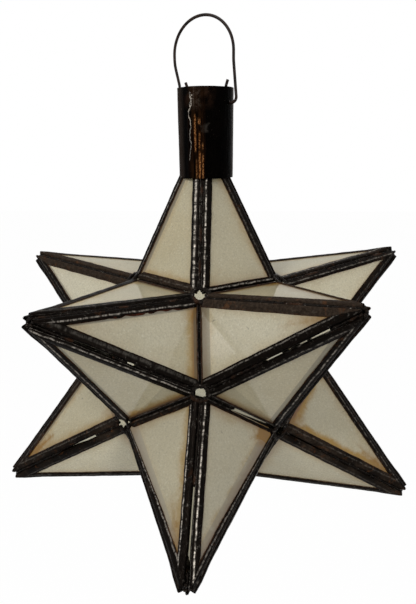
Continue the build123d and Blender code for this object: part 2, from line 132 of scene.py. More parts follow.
# Where the photograph's hand-soldered star departs from a true one: its tips and its front corners,
# each corner named by its azimuth from the front and its rise over its distance from the axis.
TIP_SHIFTS = {
    RF: (3.4, 4.7, 4.0),
    LF: (1.2, -0.5, -2.9),
    LB: (0.3, -5.0, -2.4),
    RB: (-0.3, -5.0, 3.4),
    LL: (0.5, 0.3, 0.6),
    LR: (-0.5, -0.3, -1.0),
    F: (-0.7, 0.4, 0.9),
    "top_point": (-1.5, 0.0, 0.0),
}
# How far the strips' cut ends are bent outwards at a tip, where it isn't 0.5.
TIP_SPLAYS = {RF: 0.2, LF: 0.6, F: 0.8, "top_point": 0.0}
CORNER_SHIFTS = [
    (0, 1.309, (-1.0, -0.2, -0.9)),
    (0, 0.191, (2.1, -0.3, -1.4)),
    (-72, 1.309, (-1.6, 0.2, 0.5)),
    (72, 1.309, (1.9, 0.2, -0.3)),
    (-36, -0.191, (-1.2, 0.0, -1.1)),
    (36, -0.191, (1.7, -0.3, -2.0)),
    (-36, -1.309, (-0.4, -2.0, -4.5)),
    (36, -1.309, (0.2, -1.2, -2.4)),
]
# Corners whose hole is torn wider than the rest: where they are, and the hole's radius.
WIDE_HOLES = [(-36, -0.191, 4.3), (0, 1.309, 3.5)]


def is_toward(spot, azimuth, rise):
    """Whether a corner of the star lies in a direction."""
    a = math.radians(azimuth)
    aim = Vector((math.sin(a), -math.cos(a), rise)).normalized()
    return (spot - STAR).normalized().dot(aim) > 0.99


def corner_shift(spot):
    """How far the corner nearest to a place has moved."""
    for azimuth, rise, shift in CORNER_SHIFTS:
        if is_toward(spot, azimuth, rise):
            return Vector(shift)
    return Vector((0, 0, 0))


def hole_radius(spot):
    """The radius of the hole at the corner nearest to a place."""
    for azimuth, rise, radius in WIDE_HOLES:
        if is_toward(spot, azimuth, rise):
            return radius
    return HOLE


def tip_shift(point):
    """How far a point's tip has moved."""
    return Vector(TIP_SHIFTS.get(point, (0, 0, 0)))


class Panel:
    """One of a point's five sides, with its three corners where the photograph has them."""

    def __init__(self, point, k):
        self.matrix = fifth_of(point, k, PANEL)
        corners = [self.matrix @ Vector((side * HALF_BASE, 0, 0)) for side in (-1, 1)]
        self.left, self.right = (corner_shift(corner) for corner in corners)
        self.holes = [hole_radius(corner) for corner in corners]
        self.tip = tip_shift(point)

    def place(self, x, y, z):
        """Where a place on the flat panel lies on the crooked star."""
        high = y / SLANT
        right = (1 - high) / 2 + x / (2 * HALF_BASE)
        left = 1 - high - right
        return self.matrix @ Vector((x, y, z)) + self.left * left + self.right * right + self.tip * high


def end_of(point):
    """The height at which a point's strips are cut."""
    return TOP_END if point == "top_point" else STRIP_END


# ---- one panel's outline, lying flat in millimetres ----
BASE_SETBACK = SETBACK / math.cos(HALF_APEX)
OUT_HALF = HALF_BASE * (1 - GAP / 2 / SLANT) - BASE_SETBACK
OUT_APEX = SLANT * (1 - SETBACK / (HALF_BASE * math.cos(HALF_APEX)))
OUT_HEIGHT = OUT_APEX - GAP / 2
OUT_RADIUS = OUT_HALF * OUT_HEIGHT / (OUT_HALF + math.hypot(OUT_HALF, OUT_HEIGHT))
BASE_LEFT = Vector((-OUT_HALF, GAP / 2))
BASE_RIGHT = Vector((OUT_HALF, GAP / 2))
TOP = Vector((0, OUT_APEX))
CENTRE = Vector((0, GAP / 2 + OUT_RADIUS))
SIDES = [
    (BASE_LEFT, BASE_RIGHT, HALF_CORNER, HALF_CORNER),
    (BASE_RIGHT, TOP, HALF_CORNER, HALF_APEX),
    (TOP, BASE_LEFT, HALF_APEX, HALF_CORNER),
]


def slant_of(height):
    """How far up a panel a height above the star's centre is."""
    return (height - FOOT) * SLANT / HEIGHT


def rough(a, b=0.0, c=0.0):
    """A fixed unevenness between about -1 and 1."""
    return noise.noise(Vector((a, b, c)))


def hash_of(name):
    """A fixed number for a name, from which its pieces take their unevenness."""
    return sum(ord(c) * (i + 1) for i, c in enumerate(name)) % 89


# ---- what the photograph shows of single strips and panes ----
# Keyed by point, panel and side: 0 the valley, 1 the ridge on the right, 2 the ridge on the left.
# wide: the outer side's width, and flare: how much wider it is at its foot.
# rust: 0 black lacquer to 1 matte brown. shine: how glossy, and how many painted glints it has. lip: how
# torn
# its inner rim is. crest, line, spread: where a painted highlight line runs, drawn as rubbed tin, as a
# share of the width, how bright and how wide.
# slits: where two strips stand apart, as shares of the strip's length from the foot, with how far
# this one draws back.
STRIPS = {
    # Valleys.
    ("top_point", 0, 0): dict(wide=3.5, rust=0.1, shine=0.9, crest=0.5, line=0.6),
    ("top_point", 4, 0): dict(wide=5.0, rust=0.8),
    (LF, 0, 0): dict(wide=3.2, rust=0.8),
    (LF, 3, 0): dict(wide=2.3, rust=0.3),
    (LF, 4, 0): dict(wide=1.6, rust=0.15, shine=0.4),
    (RF, 0, 0): dict(wide=3.4, rust=0.6),
    (RF, 1, 0): dict(wide=1.5, rust=0.7, shine=0.2),
    (RF, 2, 0): dict(wide=3.2, rust=0.35, slits=[(0.36, 0.93, 0.75)]),
    (F, 2, 0): dict(wide=3.2, rust=0.45, slits=[(0.07, 0.64, 0.75)]),
    (F, 3, 0): dict(wide=4.4, rust=0.6),
    (LL, 2, 0): dict(rust=0.8),
    (LR, 3, 0): dict(rust=0.6, shine=0.8),
    # Ridges of which one strip stands out.
    ("top_point", 4, 2): dict(wide=3.3, rust=0.3, shine=0.5, crest=0.55, line=0.5),
    ("top_point", 0, 1): dict(rust=0.3, shine=0.5),
    (LF, 0, 2): dict(rust=0.12, shine=0.5),
    (LF, 4, 1): dict(rust=0.12, shine=0.6, lip=1.0, crest=0.45, line=0.55),
    (RF, 0, 2): dict(wide=2.4, rust=0.9, shine=0.0),
    (RF, 4, 1): dict(rust=0.9, shine=0.0),
}


# A painted highlight line along a strip: where it runs as a share of the width, how bright and how wide.
def painted_highlight(crest, line, spread=1.0, **look):
    return dict(crest=crest, line=line, spread=spread, **look)


def ridge_look(point, panel, near=(), far=(), **look):
    """Both strips of the ridge on the right of a panel: near is its own, far the next panel's."""
    STRIPS[point, panel, 1] = {**look, **dict(near)}
    STRIPS[point, (panel + 1) % 5, 2] = {**look, **dict(far)}


LEFT_RIDGE_SLITS = [(0.5, 0.7, 0.22), (0.37, 0.42, 0.15)]
ridge_look("top_point", 4, painted_highlight(0.58, 1.0, 1.7), painted_highlight(0.78, 1.0), rust=0.05, shine=1.0)
ridge_look(LF, 2, far=painted_highlight(0.5, 0.6), rust=0.3, shine=0.9)
ridge_look(LF, 3, painted_highlight(0.8, 0.8), painted_highlight(0.38, 0.1, 2.4), rust=0.1, shine=0.7, slits=LEFT_RIDGE_SLITS)
ridge_look(RF, 0, rust=1.0, shine=0.0)
ridge_look(RF, 1, painted_highlight(0.3, 0.3), painted_highlight(0.5, 0.25), rust=0.15, shine=0.7, slits=[(0.38, 0.75, -0.1)])
ridge_look(RF, 2, painted_highlight(0.5, 0.5), rust=0.3, shine=0.6)
ridge_look(LB, 4, rust=0.95, shine=0.0)
ridge_look(RB, 0, painted_highlight(0.5, 0.6), painted_highlight(0.6, 0.3, wide=3.8), rust=0.4, shine=0.5)
ridge_look(F, 1, far=painted_highlight(0.4, 0.35, wide=3.6, flare=-2.0), rust=0.15, shine=0.8)
ridge_look(F, 2, painted_highlight(0.72, 1.0), painted_highlight(0.28, 1.0), rust=0.1, shine=1.0, slits=[(0.46, 0.84, -0.06)])
ridge_look(F, 3, painted_highlight(0.2, 0.4, flare=-3.2), rust=0.25, shine=0.7)
ridge_look(LL, 1, rust=0.55, shine=0.4, slits=[(0.22, 0.5, 0.1)])
ridge_look(LL, 2, rust=0.5, shine=0.4)
ridge_look(LR, 2, rust=0.3, shine=0.7)
ridge_look(LR, 3, rust=0.6, shine=0.4, slits=[(0.08, 0.3, 0.08)])


def glass(tone, warm, stain, **more):
    return dict(tone=tone, warm=warm, stain=stain, **more)


# Panes, keyed by point and panel. tone: brightness, painted per listed pane as how brightly it is lit.
# warm: yellowness.
# stain: how strong along each side. band: how wide a band of painted shade runs along each side, where the
# strip's inner side stands behind the glass, and pale: how light that band is painted. spot: stains in the
# right, top and left
# corners. wedge: a painted shadow over a base corner, with its length along the base (negative for the left
# corner), its length up the ridge and its depth.
PANES = {
    ("top_point", 4): glass(1.0, 0.75, (0.7, 0.15, 0.35), band=(0, 0, 5.6)),
    ("top_point", 0): glass(0.88, 0.6, (0.2, 0.5, 0.1), band=(0, 0, 0), spot=(0, 0, 0.3)),
    (LF, 4): glass(0.93, 0.35, (0.8, 0.2, 0.1), band=(3.6, 5.8, 0), spot=(0.4, 0.2, 0.2)),
    (RF, 1): glass(1.04, 0.3, (0.4, 0.2, 0.25), band=(7.0, 0, 0), spot=(0, 0.8, 0)),
    (LF, 3): glass(0.97, 0.45, (0.95, 0.1, 0.1), band=(3.2, 0, 6.2), wedge=(51, 20, 0.22)),
    (RF, 2): glass(0.86, 0.45, (0.6, 0.25, 0.1), band=(3.6, 7.4, 0), wedge=(-62, 18, 0.22)),
    (F, 3): glass(0.84, 0.6, (0.4, 0.35, 0.9), band=(0, 7.6, 0), pale=0.8, spot=(0.3, 0.8, 0)),
    (F, 2): glass(0.77, 0.4, (0.45, 0.1, 0.75), band=(0, 0, 7.4), pale=0.65, spot=(0, 0, 1.8)),
    (LF, 0): glass(1.0, 0.6, (0.5, 0.5, 0.2)),
    (RF, 0): glass(0.9, 0.6, (0.8, 0.4, 0.4), spot=(0, 0.2, 0.9)),
    (LB, 0): glass(0.98, 0.4, (0.3, 0.2, 0.4)),
    (LB, 4): glass(1.3, 0.25, (0.2, 0.1, 0.1), band=(5.0, 0, 6.0)),
    (RB, 0): glass(1.0, 0.3, (0.2, 0.5, 0.4)),
    (RB, 1): glass(1.12, 0.4, (0.4, 0.2, 0.1)),
    (LL, 2): glass(0.87, 0.65, (0.3, 0.7, 0.7), band=(5.0, 6.4, 0), spot=(0.2, 1.5, 0.4)),
    (LL, 1): glass(1.24, 0.3, (0.3, 0.2, 0.2), band=(0, 0, 0)),
    (LR, 3): glass(0.88, 0.45, (1.3, 1.5, 0.4), band=(0, 0, 0), spot=(0.8, 1.2, 0.2)),
    # Back panes seen through the corner holes, painted brighter: painted light.
    ("upper_back_point", 3): glass(1.48, 0.15, (0, 0, 0), spot=(0, 0, 0)),
    ("lower_back_left_point", 4): glass(1.5, 0.1, (0, 0, 0), spot=(0, 0, 0)),
    (LL, 4): glass(1.48, 0.15, (0, 0, 0), spot=(0, 0, 0)),
    (LR, 4): glass(1.05, 0.35, (0.3, 0.2, 0.5), band=(0, 0, 0)),
}


# ---- objects and meshes ----
def add_object(name, data, place=(0, 0, 0), turn=None):
    """A new object in the scene, turned by a quaternion where one is given."""
    item = bpy.data.objects.new(name, data)
    bpy.context.scene.collection.objects.link(item)
    item.location = place
    if turn is not None:
        item.rotation_mode = "QUATERNION"
        item.rotation_quaternion = turn
    return item


class Mesh:
    """Places and faces that become one piece, with the marks that its material reads."""

    def __init__(self, *marks):
        self.verts, self.faces = [], []
        self.marks = {name: [] for name in marks}

    def put(self, place, *marks):
        self.verts.append(place)
        for values, value in zip(self.marks.values(), marks):
            values.append(value)

    def wrap(self, first, count, rings, is_capped=True, is_turned=False):
        """Faces from ring to ring of places, and over both ends; turned ones face the other way."""
        for i in range(rings):
            for j in range(count):
                a = first + i * count + j
                b = first + i * count + (j + 1) % count
                face = (a, b, b + count, a + count) if is_turned else (a, a + count, b + count, b)
                self.faces.append(face)
        if is_capped:
            near, far = (range(first + i * count, first + (i + 1) * count) for i in (0, rings))
            ends = (reversed(near), far) if is_turned else (near, reversed(far))
            self.faces += [tuple(end) for end in ends]

    def finish(self, name, look, slot, is_smooth=True):
        data = bpy.data.meshes.new(name)
        data.from_pydata([v * MM for v in self.verts], [], self.faces)
        data.update()
        data.polygons.foreach_set("use_smooth", [is_smooth] * len(data.polygons))
        for mark, values in self.marks.items():
            attribute = data.attributes.new(mark, "FLOAT_VECTOR", "POINT")
            attribute.data.foreach_set("vector", [c for v in values for c in v])
        data.materials.append(look)
        piece = add_object(name, data)
        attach(piece, "lantern")
        return piece


# ---- materials ----
class Nodes:
    """Short calls for the nodes that the materials and the world use."""

    def __init__(self, name, kind="materials"):
        self.owner = getattr(bpy.data, kind).new(name)
        self.owner.use_nodes = True
        self.tree = self.owner.node_tree
        self.tree.nodes.clear()

    def put(self, kind, inputs=None, **settings):
        node = self.tree.nodes.new(kind)
        for key, value in settings.items():
            setattr(node, key, value)
        for key, value in (inputs or {}).items():
            socket = node.inputs[key]
            if isinstance(value, bpy.types.NodeSocket):
                self.tree.links.new(value, socket)
            else:
                socket.default_value = value
        return node

    def attribute(self, name):
        """The three numbers of a stored vector."""
        vector = self.put("ShaderNodeAttribute", attribute_name=name).outputs["Vector"]
        return tuple(self.put("ShaderNodeSeparateXYZ", {0: vector}).outputs)

    def vector(self, x, y, z):
        return self.put("ShaderNodeCombineXYZ", {0: x, 1: y, 2: z}).outputs[0]

    def noise(self, vector, scale, detail=3.0, roughness=0.55, distortion=0.0):
        inputs = {
            "Vector": vector,
            "Scale": scale,
            "Detail": detail,
            "Roughness": roughness,
            "Distortion": distortion,
        }
        return self.put("ShaderNodeTexNoise", inputs).outputs["Fac"]

    def math(self, operation, a, b=0.0, clamp=False):
        return self.put("ShaderNodeMath", {0: a, 1: b}, operation=operation, use_clamp=clamp).outputs[0]

    def times(self, first, *rest, clamp=False):
        for value in rest:
            first = self.math("MULTIPLY", first, value, clamp)
        return first

    def plus(self, a, b, clamp=False):
        return self.math("ADD", a, b, clamp)

    def most(self, first, *rest):
        """The greatest of several values."""
        for value in rest:
            first = self.math("MAXIMUM", first, value)
        return first

    def apart(self, a, b):
        """How far two values are apart."""
        return self.math("ABSOLUTE", self.math("SUBTRACT", a, b))

    def waver(self, value, cloud, amount):
        """A value moved up and down by a cloud, by half an amount each way."""
        return self.plus(value, self.times(self.math("SUBTRACT", cloud, 0.5), amount))

    def step(self, value, low, high, to_low=0.0, to_high=1.0):
        """A smooth step of a value from low to high."""
        inputs = {0: value, 1: low, 2: high, 3: to_low, 4: to_high}
        return self.put("ShaderNodeMapRange", inputs, interpolation_type="SMOOTHSTEP").outputs[0]

    def drop(self, value, low, high):
        """A smooth step down, from one to zero."""
        return self.step(value, low, high, 1.0, 0.0)

    def mix(self, factor, a, b):
        a, b = (c if isinstance(c, bpy.types.NodeSocket) else (*c, 1.0) for c in (a, b))
        return self.put("ShaderNodeMix", {0: factor, 6: a, 7: b}, data_type="RGBA").outputs[2]

    def bump(self, height, strength, distance):
        inputs = {"Height": height, "Strength": strength, "Distance": distance}
        return self.put("ShaderNodeBump", inputs).outputs[0]

    def place(self):
        return self.put("ShaderNodeTexCoord").outputs["Object"]

    def surface(self, inputs):
        return self.put("ShaderNodeBsdfPrincipled", inputs).outputs[0]

    def finish(self, shader, output="ShaderNodeOutputMaterial"):
        self.put(output, {"Surface": shader})
        return self.owner


# The bright tin of the painted highlights: lines along the strips' crests, and glints.
HIGHLIGHT_TIN = (0.46, 0.42, 0.37)
OCHRE_RUST = (0.09, 0.036, 0.014)
CUT_EDGE = (0.06, 0.027, 0.013)
RED_LIP = (0.05, 0.013, 0.007)
# Where a torn lip runs along its strip, in millimetres, and how long its ends take to fade.
LIP_LOW, LIP_HIGH = 12.0, 62.0
LIP_RISE, LIP_FADE = 8.0, 10.0


def tin_material():
    """Black-brown lacquer on folded tin, rusting at its cut edges, with painted highlights: bright lines
    along the crests and specks, drawn as rubbed tin.
    """
    n = Nodes("lacquered_tin")
    place = n.place()
    to_edge, along, seed = n.attribute("strip")
    rust, shine, lip = n.attribute("wear")
    crest, bright, spread = n.attribute("crest")
    drawn = n.vector(n.times(along, 0.12), n.times(to_edge, 0.9), n.times(seed, 40.0))
    drag = n.noise(drawn, 1.6, 5.0, 0.65, 0.4)
    cloud = n.noise(place, 55.0, 4.0, 0.6)
    grit = n.noise(place, 700.0, 3.0, 0.7)
    fine = n.noise(place, 2300.0, 2.0, 0.6)
    lump = n.noise(place, 260.0, 4.0, 0.62, 0.6)

    base = n.mix(n.step(drag, 0.35, 0.7), (0.0005, 0.0004, 0.0003), (0.0032, 0.002, 0.0014))
    brown = n.mix(n.step(grit, 0.35, 0.7), (0.0125, 0.0085, 0.006), (0.036, 0.026, 0.019))
    brown = n.mix(n.step(lump, 0.5, 0.72), brown, (0.026, 0.0195, 0.015))
    rusty = n.waver(rust, cloud, 1.6)
    colour = n.mix(n.step(rusty, 0.35, 0.95), base, brown)
    ochre = n.step(n.noise(place, 210.0, 4.0, 0.65, 0.8), 0.58, 0.7)
    colour = n.mix(n.times(ochre, n.step(rusty, 0.1, 0.6), 0.45), colour, OCHRE_RUST)
    cut = n.waver(to_edge, n.noise(place, 420.0, 3.0), 1.5)
    colour = n.mix(n.times(n.drop(cut, 0.0, 0.45), 0.6), colour, CUT_EDGE)
    torn = n.step(n.noise(place, 120.0, 4.0, 0.6), 0.42, 0.54)
    lips = n.times(n.drop(cut, 0.2, 1.3), torn, lip, n.step(along, LIP_LOW, LIP_LOW + LIP_RISE))
    lips = n.times(lips, n.drop(along, LIP_HIGH - LIP_FADE, LIP_HIGH))
    colour = n.mix(lips, colour, RED_LIP)

    # Painted highlights: a bright line along the crest, drawn as tin that hands and cloths have rubbed
    # bare, and bright specks where the tin is glossy.
    lined = n.vector(n.times(along, 0.25), n.times(seed, 70.0), 0.0)
    middle = n.waver(crest, n.noise(lined, 0.6, 3.0, 0.6), 1.6)
    off = n.math("DIVIDE", n.apart(to_edge, middle), spread)
    broken = n.step(n.noise(lined, 1.7, 4.0, 0.75), 0.4, 0.56, 0.12, 1.0)
    line = n.times(n.drop(off, 0.12, 0.62), n.times(broken, bright))
    # Painted glints: bright specks, more of them where the tin is glossy.
    glint_speckle = n.times(n.step(grit, 0.54, 0.68), n.step(lump, 0.5, 0.66))
    glint_speckle = n.times(glint_speckle, n.step(shine, 0.0, 1.0, 0.05, 0.2))
    painted_highlight = n.most(glint_speckle, n.times(line, n.step(grit, 0.34, 0.56, 0.25, 0.9)))
    colour = n.mix(painted_highlight, colour, HIGHLIGHT_TIN)

    gloss = n.times(shine, n.step(drag, 0.3, 0.62))
    roughness = n.plus(n.step(rusty, 0.0, 1.0, 0.0, 0.4), n.step(grit, 0.3, 0.7, 0.0, 0.16))
    height = n.plus(n.plus(n.times(lump, 1.3), n.times(grit, 0.3)), n.times(fine, 0.06))
    inputs = {
        "Base Color": colour,
        "Roughness": n.plus(roughness, n.step(gloss, 0.0, 0.8, 0.34, 0.2), True),
        "Metallic": n.times(painted_highlight, 0.6),
        "Specular IOR Level": 0.035,
        "Specular Tint": (0.95, 0.78, 0.66, 1.0),
        "Normal": n.bump(height, 0.7, 0.0005),
    }
    return n.finish(n.surface(inputs))


def solder_material():
    """Tarnished solder: dark, lumpy, with bright worn spots."""
    n = Nodes("tarnished_solder")
    place = n.place()
    lump = n.noise(place, 420.0, 4.0, 0.65, 0.5)
    grit = n.noise(place, 1200.0, 3.0, 0.6)
    cloud = n.noise(place, 90.0, 3.0, 0.5)
    colour = n.mix(n.step(lump, 0.4, 0.72), (0.001, 0.0008, 0.0006), (0.0085, 0.006, 0.0045))
    colour = n.mix(n.times(n.step(cloud, 0.55, 0.72), 0.6), colour, (0.045, 0.02, 0.01))
    bright = n.times(n.step(grit, 0.6, 0.72), n.step(lump, 0.45, 0.65))
    inputs = {
        "Base Color": n.mix(bright, colour, (0.32, 0.3, 0.27)),
        "Metallic": n.times(bright, 0.7),
        "Roughness": n.step(lump, 0.3, 0.7, 0.2, 0.5),
        "Specular IOR Level": 0.06,
        "Specular Tint": (0.95, 0.8, 0.7, 1.0),
        "Normal": n.bump(n.plus(lump, n.times(grit, 0.4)), 0.9, 0.0006),
    }
    return n.finish(n.surface(inputs))


DARK_GRAIN = (0.25, 0.235, 0.18)
PALE_GRAIN = (0.84, 0.84, 0.77)
YELLOW_STAIN = (0.47, 0.27, 0.035)
RUST_STAIN = (0.28, 0.11, 0.02)
CORNER_STAIN = (0.35, 0.17, 0.004)
# Painted shade along a pane's sides where the strip's inner side stands behind the glass, and a lighter
# painted band.
SHADED_BAND = (0.12, 0.11, 0.085)
LIT_BAND = (0.45, 0.41, 0.345)
DIRT = (0.07, 0.05, 0.035)
# The painted shadow over a pane's base corner.
WEDGE_SHADOW = (0.13, 0.125, 0.085)
GLOW = (0.94, 0.91, 0.81)


def pane_material():
    """Glass, smooth outside and frosted inside, with stains that creep in from the strips, and painted
    shade and light.
    """
    n = Nodes("frosted_pane")
    place = n.place()
    rims = n.attribute("rim")
    tone, warm, inner = n.attribute("tint")
    from_line, deep, pale_band = n.attribute("wedge")
    wander = n.noise(place, 120.0, 4.0, 0.65, 0.6)
    creep = n.noise(place, 420.0, 3.0, 0.6)
    cloud = n.noise(place, 26.0, 3.0, 0.5, 0.5)
    grain = n.noise(place, 950.0, 3.0, 0.8)
    broad = n.noise(place, 14.0, 2.0, 0.5)

    grey = n.mix(warm, (0.64, 0.615, 0.505), (0.64, 0.56, 0.345))
    dull = n.mix(warm, (0.6, 0.56, 0.425), (0.59, 0.495, 0.28))
    colour = n.mix(n.step(cloud, 0.38, 0.66), grey, dull)
    colour = n.mix(n.step(grain, 0.34, 0.52, 0.36, 0.0), colour, DARK_GRAIN)
    colour = n.mix(n.times(n.step(grain, 0.56, 0.68), 0.6), colour, PALE_GRAIN)

    shades, yellows, rusts, fouls = [], [], [], []
    for rim, stain, band in zip(rims, n.attribute("stain"), n.attribute("band")):
        yellows.append(n.times(n.drop(n.waver(rim, wander, 8.0), 4.5, 10.5), stain))
        rusts.append(n.times(n.drop(n.plus(rim, n.times(creep, 1.6)), 4.6, 6.6), stain))
        edge = n.math("SUBTRACT", band, rim)
        shades.append(n.step(n.waver(edge, creep, 0.5), -0.15, 0.25))
    for side, spot in enumerate(n.attribute("spot")):
        far = n.waver(n.most(rims[side], rims[(side + 1) % 3]), wander, 9.0)
        fouls.append(n.times(n.drop(far, 5.0, 14.0), spot, clamp=True))
    yellow, rust, foul = n.most(*yellows), n.most(*rusts), n.most(*fouls)
    colour = n.mix(n.times(yellow, 0.8), colour, YELLOW_STAIN)
    colour = n.mix(n.times(rust, 0.75), colour, RUST_STAIN)
    # Painted shade: bands along the sides where the strips stand behind the glass, some painted lighter.
    through = n.mix(pale_band, SHADED_BAND, LIT_BAND)
    colour = n.mix(n.times(n.most(*shades), 0.62), colour, through)
    colour = n.mix(foul, colour, CORNER_STAIN)
    dirt = n.times(n.step(n.noise(place, 300.0, 2.0, 0.5), 0.735, 0.76), n.step(broad, 0.4, 0.6))
    colour = n.mix(n.times(dirt, 0.75), colour, DIRT)
    # Painted shadow: a dark wedge over a base corner.
    wedge = n.times(n.drop(from_line, -0.3, 0.3), deep)
    colour = n.mix(wedge, colour, WEDGE_SHADOW)
    # Brightness: painted per listed pane as how brightly it is lit, with a little uneven variation.
    bright = n.times(tone, n.step(broad, 0.3, 0.7, 0.93, 1.05))
    scaled = n.put("ShaderNodeVectorMath", {0: colour, 3: bright}, operation="SCALE").outputs[0]

    inputs = {
        "Base Color": scaled,
        "Roughness": 0.75,
        "Specular IOR Level": 0.3,
        "Normal": n.bump(grain, 0.5, 0.00012),
        "Coat Weight": 0.8,
        "Coat Roughness": 0.06,
        "Coat IOR": 1.85,
        "Coat Normal": n.bump(n.noise(place, 9.0, 2.0, 0.4), 0.12, 0.002),
    }
    face = n.surface(inputs)
    covered = n.step(n.most(foul, wedge, yellow, rust), 0.0, 1.0, 0.45, 0.08)
    glow = n.put("ShaderNodeBsdfTranslucent", {"Color": n.mix(covered, scaled, GLOW)}).outputs[0]
    frosted = n.put("ShaderNodeMixShader", {0: 0.5, 1: face, 2: glow}).outputs[0]
    clear = n.put("ShaderNodeBsdfTransparent", {"Color": (0.97, 0.98, 0.97, 1.0)}).outputs[0]
    open_inside = {0: n.times(inner, 0.93), 1: frosted, 2: clear}
    return n.finish(n.put("ShaderNodeMixShader", open_inside).outputs[0])


# The collar's marks, in millimetres round from the sheet's free edge (less is further left) and up
# from its foot.
# Copper streaks: the middle, the half width, the lower and the upper end, and how strong.
COPPER_STREAKS = [
    (-5.25, 0.75, 15.7, 34.5, 0.85),
    (-4.65, 0.6, 0.5, 10.0, 0.45),
    (-2.75, 0.8, 0.3, 14.6, 1.0),
    (-2.75, 0.65, 16.8, 25.1, 0.6),
    (-2.85, 1.0, 30.4, 32.4, 0.9),
    (-0.95, 0.7, 0.8, 13.0, 0.8),
    (-1.05, 0.6, 17.0, 18.8, 0.7),
]
SEAM_PATCH, SEAM_SMEAR = -3.0, -5.0
# Where the painted dim highlight sits on the front: round from the free edge and up from the foot.
FRONT_GLINT_PLACE = (0.3, 27.3)
# Painted sheen down the collar's left side and its right edge.
LEFT_SIDE_SHEEN = (0.021, 0.0145, 0.0108)
RIGHT_EDGE_SHEEN = (0.028, 0.021, 0.0165)
PATCH_BROWN = (0.022, 0.011, 0.0065)
# The grey of the painted dim highlight.
FRONT_GLINT_GREY = (0.019, 0.0165, 0.014)
SMEAR_GREY = (0.055, 0.042, 0.032)
RUSSET = (0.011, 0.0048, 0.002)
SPECK = (0.1, 0.085, 0.07)


def copper_wear(n, around, up, lump):
    """Where the collar is worn to copper, from 0 to 1."""
    broken = n.noise(n.vector(n.times(around, 2.2), up, 3.0), 1.3, 5.0, 0.8)
    broken = n.step(broken, 0.42, 0.56, 0.03, 1.0)
    streaks = []
    for centre, width, low, high, amount in COPPER_STREAKS:
        off = n.apart(around, n.plus(centre, n.times(lump, 0.5)))
        band = n.drop(off, width * 0.35, width)
        span = n.times(n.step(up, low - 1.5, low + 1.0), n.drop(up, high - 1.5, high + 1.5))
        streaks.append(n.times(n.times(band, span), n.times(broken, amount)))
    return n.most(*streaks)


def collar_material():
    """Dark lacquer on the rolled collar, worn to copper in upright streaks near its seam, with painted
    sheen down its sides and a painted dim highlight at its front.
    """
    n = Nodes("collar_lacquer")
    around, up, seed = n.attribute("skin")
    place = n.place()
    streak = n.noise(n.vector(around, n.times(up, 0.07), seed), 1.1, 4.0, 0.65, 0.3)
    cloud = n.noise(place, 70.0, 4.0, 0.6, 0.4)
    grit = n.noise(place, 900.0, 3.0, 0.7)
    lump = n.noise(place, 240.0, 3.0, 0.6, 0.5)
    base = n.mix(n.step(cloud, 0.4, 0.7), (0.0001, 0.0001, 0.0001), (0.0008, 0.0005, 0.0004))
    # Painted sheen: a brown-grey band with upright streaks down the left side, and a narrower one down the
    # right edge.
    left = n.drop(around, -17.5, -12.0)
    right = n.step(around, 19.6, 21.2)
    base = n.mix(n.times(left, n.step(streak, 0.25, 0.7, 0.55, 1.0)), base, LEFT_SIDE_SHEEN)
    base = n.mix(n.times(right, 0.85), base, RIGHT_EDGE_SHEEN)
    wear = copper_wear(n, around, up, lump)

    patch = n.times(n.step(up, 34.0, 47.0), n.step(cloud, 0.42, 0.62))
    patch = n.times(patch, n.drop(n.apart(around, SEAM_PATCH), 5.0, 11.0))
    base = n.mix(n.times(patch, 0.8), base, PATCH_BROWN)
    # A painted dim highlight: a grey blot on the collar's front.
    away = n.most(n.apart(around, FRONT_GLINT_PLACE[0]), n.apart(up, FRONT_GLINT_PLACE[1]))
    base = n.mix(n.drop(n.waver(away, lump, 7.0), 1.2, 2.8), base, FRONT_GLINT_GREY)
    smear = n.times(n.step(up, 36.0, 41.0), n.drop(n.apart(around, SEAM_SMEAR), 1.0, 4.5))
    smear = n.times(smear, n.step(n.noise(place, 480.0, 4.0, 0.75), 0.42, 0.62))
    base = n.mix(smear, base, SMEAR_GREY)
    russet = n.times(n.step(around, -11.0, -7.0), n.drop(around, -0.5, 1.5))
    base = n.mix(n.times(russet, n.step(streak, 0.35, 0.65)), base, RUSSET)

    copper = n.mix(n.step(grit, 0.42, 0.62), (0.13, 0.042, 0.01), (0.52, 0.235, 0.085))
    colour = n.mix(n.times(wear, 0.9), base, copper)
    speck = n.times(n.step(grit, 0.67, 0.74), n.step(cloud, 0.45, 0.6))
    colour = n.mix(n.times(speck, 0.5), colour, SPECK)
    height = n.plus(n.plus(n.times(lump, 0.6), n.times(grit, 0.3)), n.times(streak, 1.5))
    inputs = {
        "Base Color": colour,
        "Metallic": n.times(wear, 0.5),
        "Roughness": n.plus(n.step(cloud, 0.35, 0.7, 0.22, 0.4), n.times(n.most(left, patch), 0.2)),
        "Specular IOR Level": 0.006,
        "Specular Tint": (0.9, 0.75, 0.65, 1.0),
        "Normal": n.bump(height, 0.6, 0.0004),
    }
    return n.finish(n.surface(inputs))


def plain_metal(name, low, high, metallic, rough, scale, specular=0.5):
    """Metal or moulding with cloudy tarnish, fine scratches and a little relief."""
    n = Nodes(name)
    place = n.place()
    cloud = n.noise(place, scale, 4.0, 0.6, 0.4)
    grit = n.noise(place, scale * 9, 3.0, 0.65)
    colour = n.mix(n.step(cloud, 0.35, 0.68), low, high)
    scratched = tuple(c * 0.35 for c in low)
    inputs = {
        "Base Color": n.mix(n.times(n.step(grit, 0.62, 0.74), 0.35), colour, scratched),
        "Metallic": metallic,
        "Roughness": n.step(cloud, 0.3, 0.7, *rough),
        "Specular IOR Level": specular,
        "Normal": n.bump(n.plus(cloud, n.times(grit, 0.3)), 0.4, 0.0002),
    }
    return n.finish(n.surface(inputs))


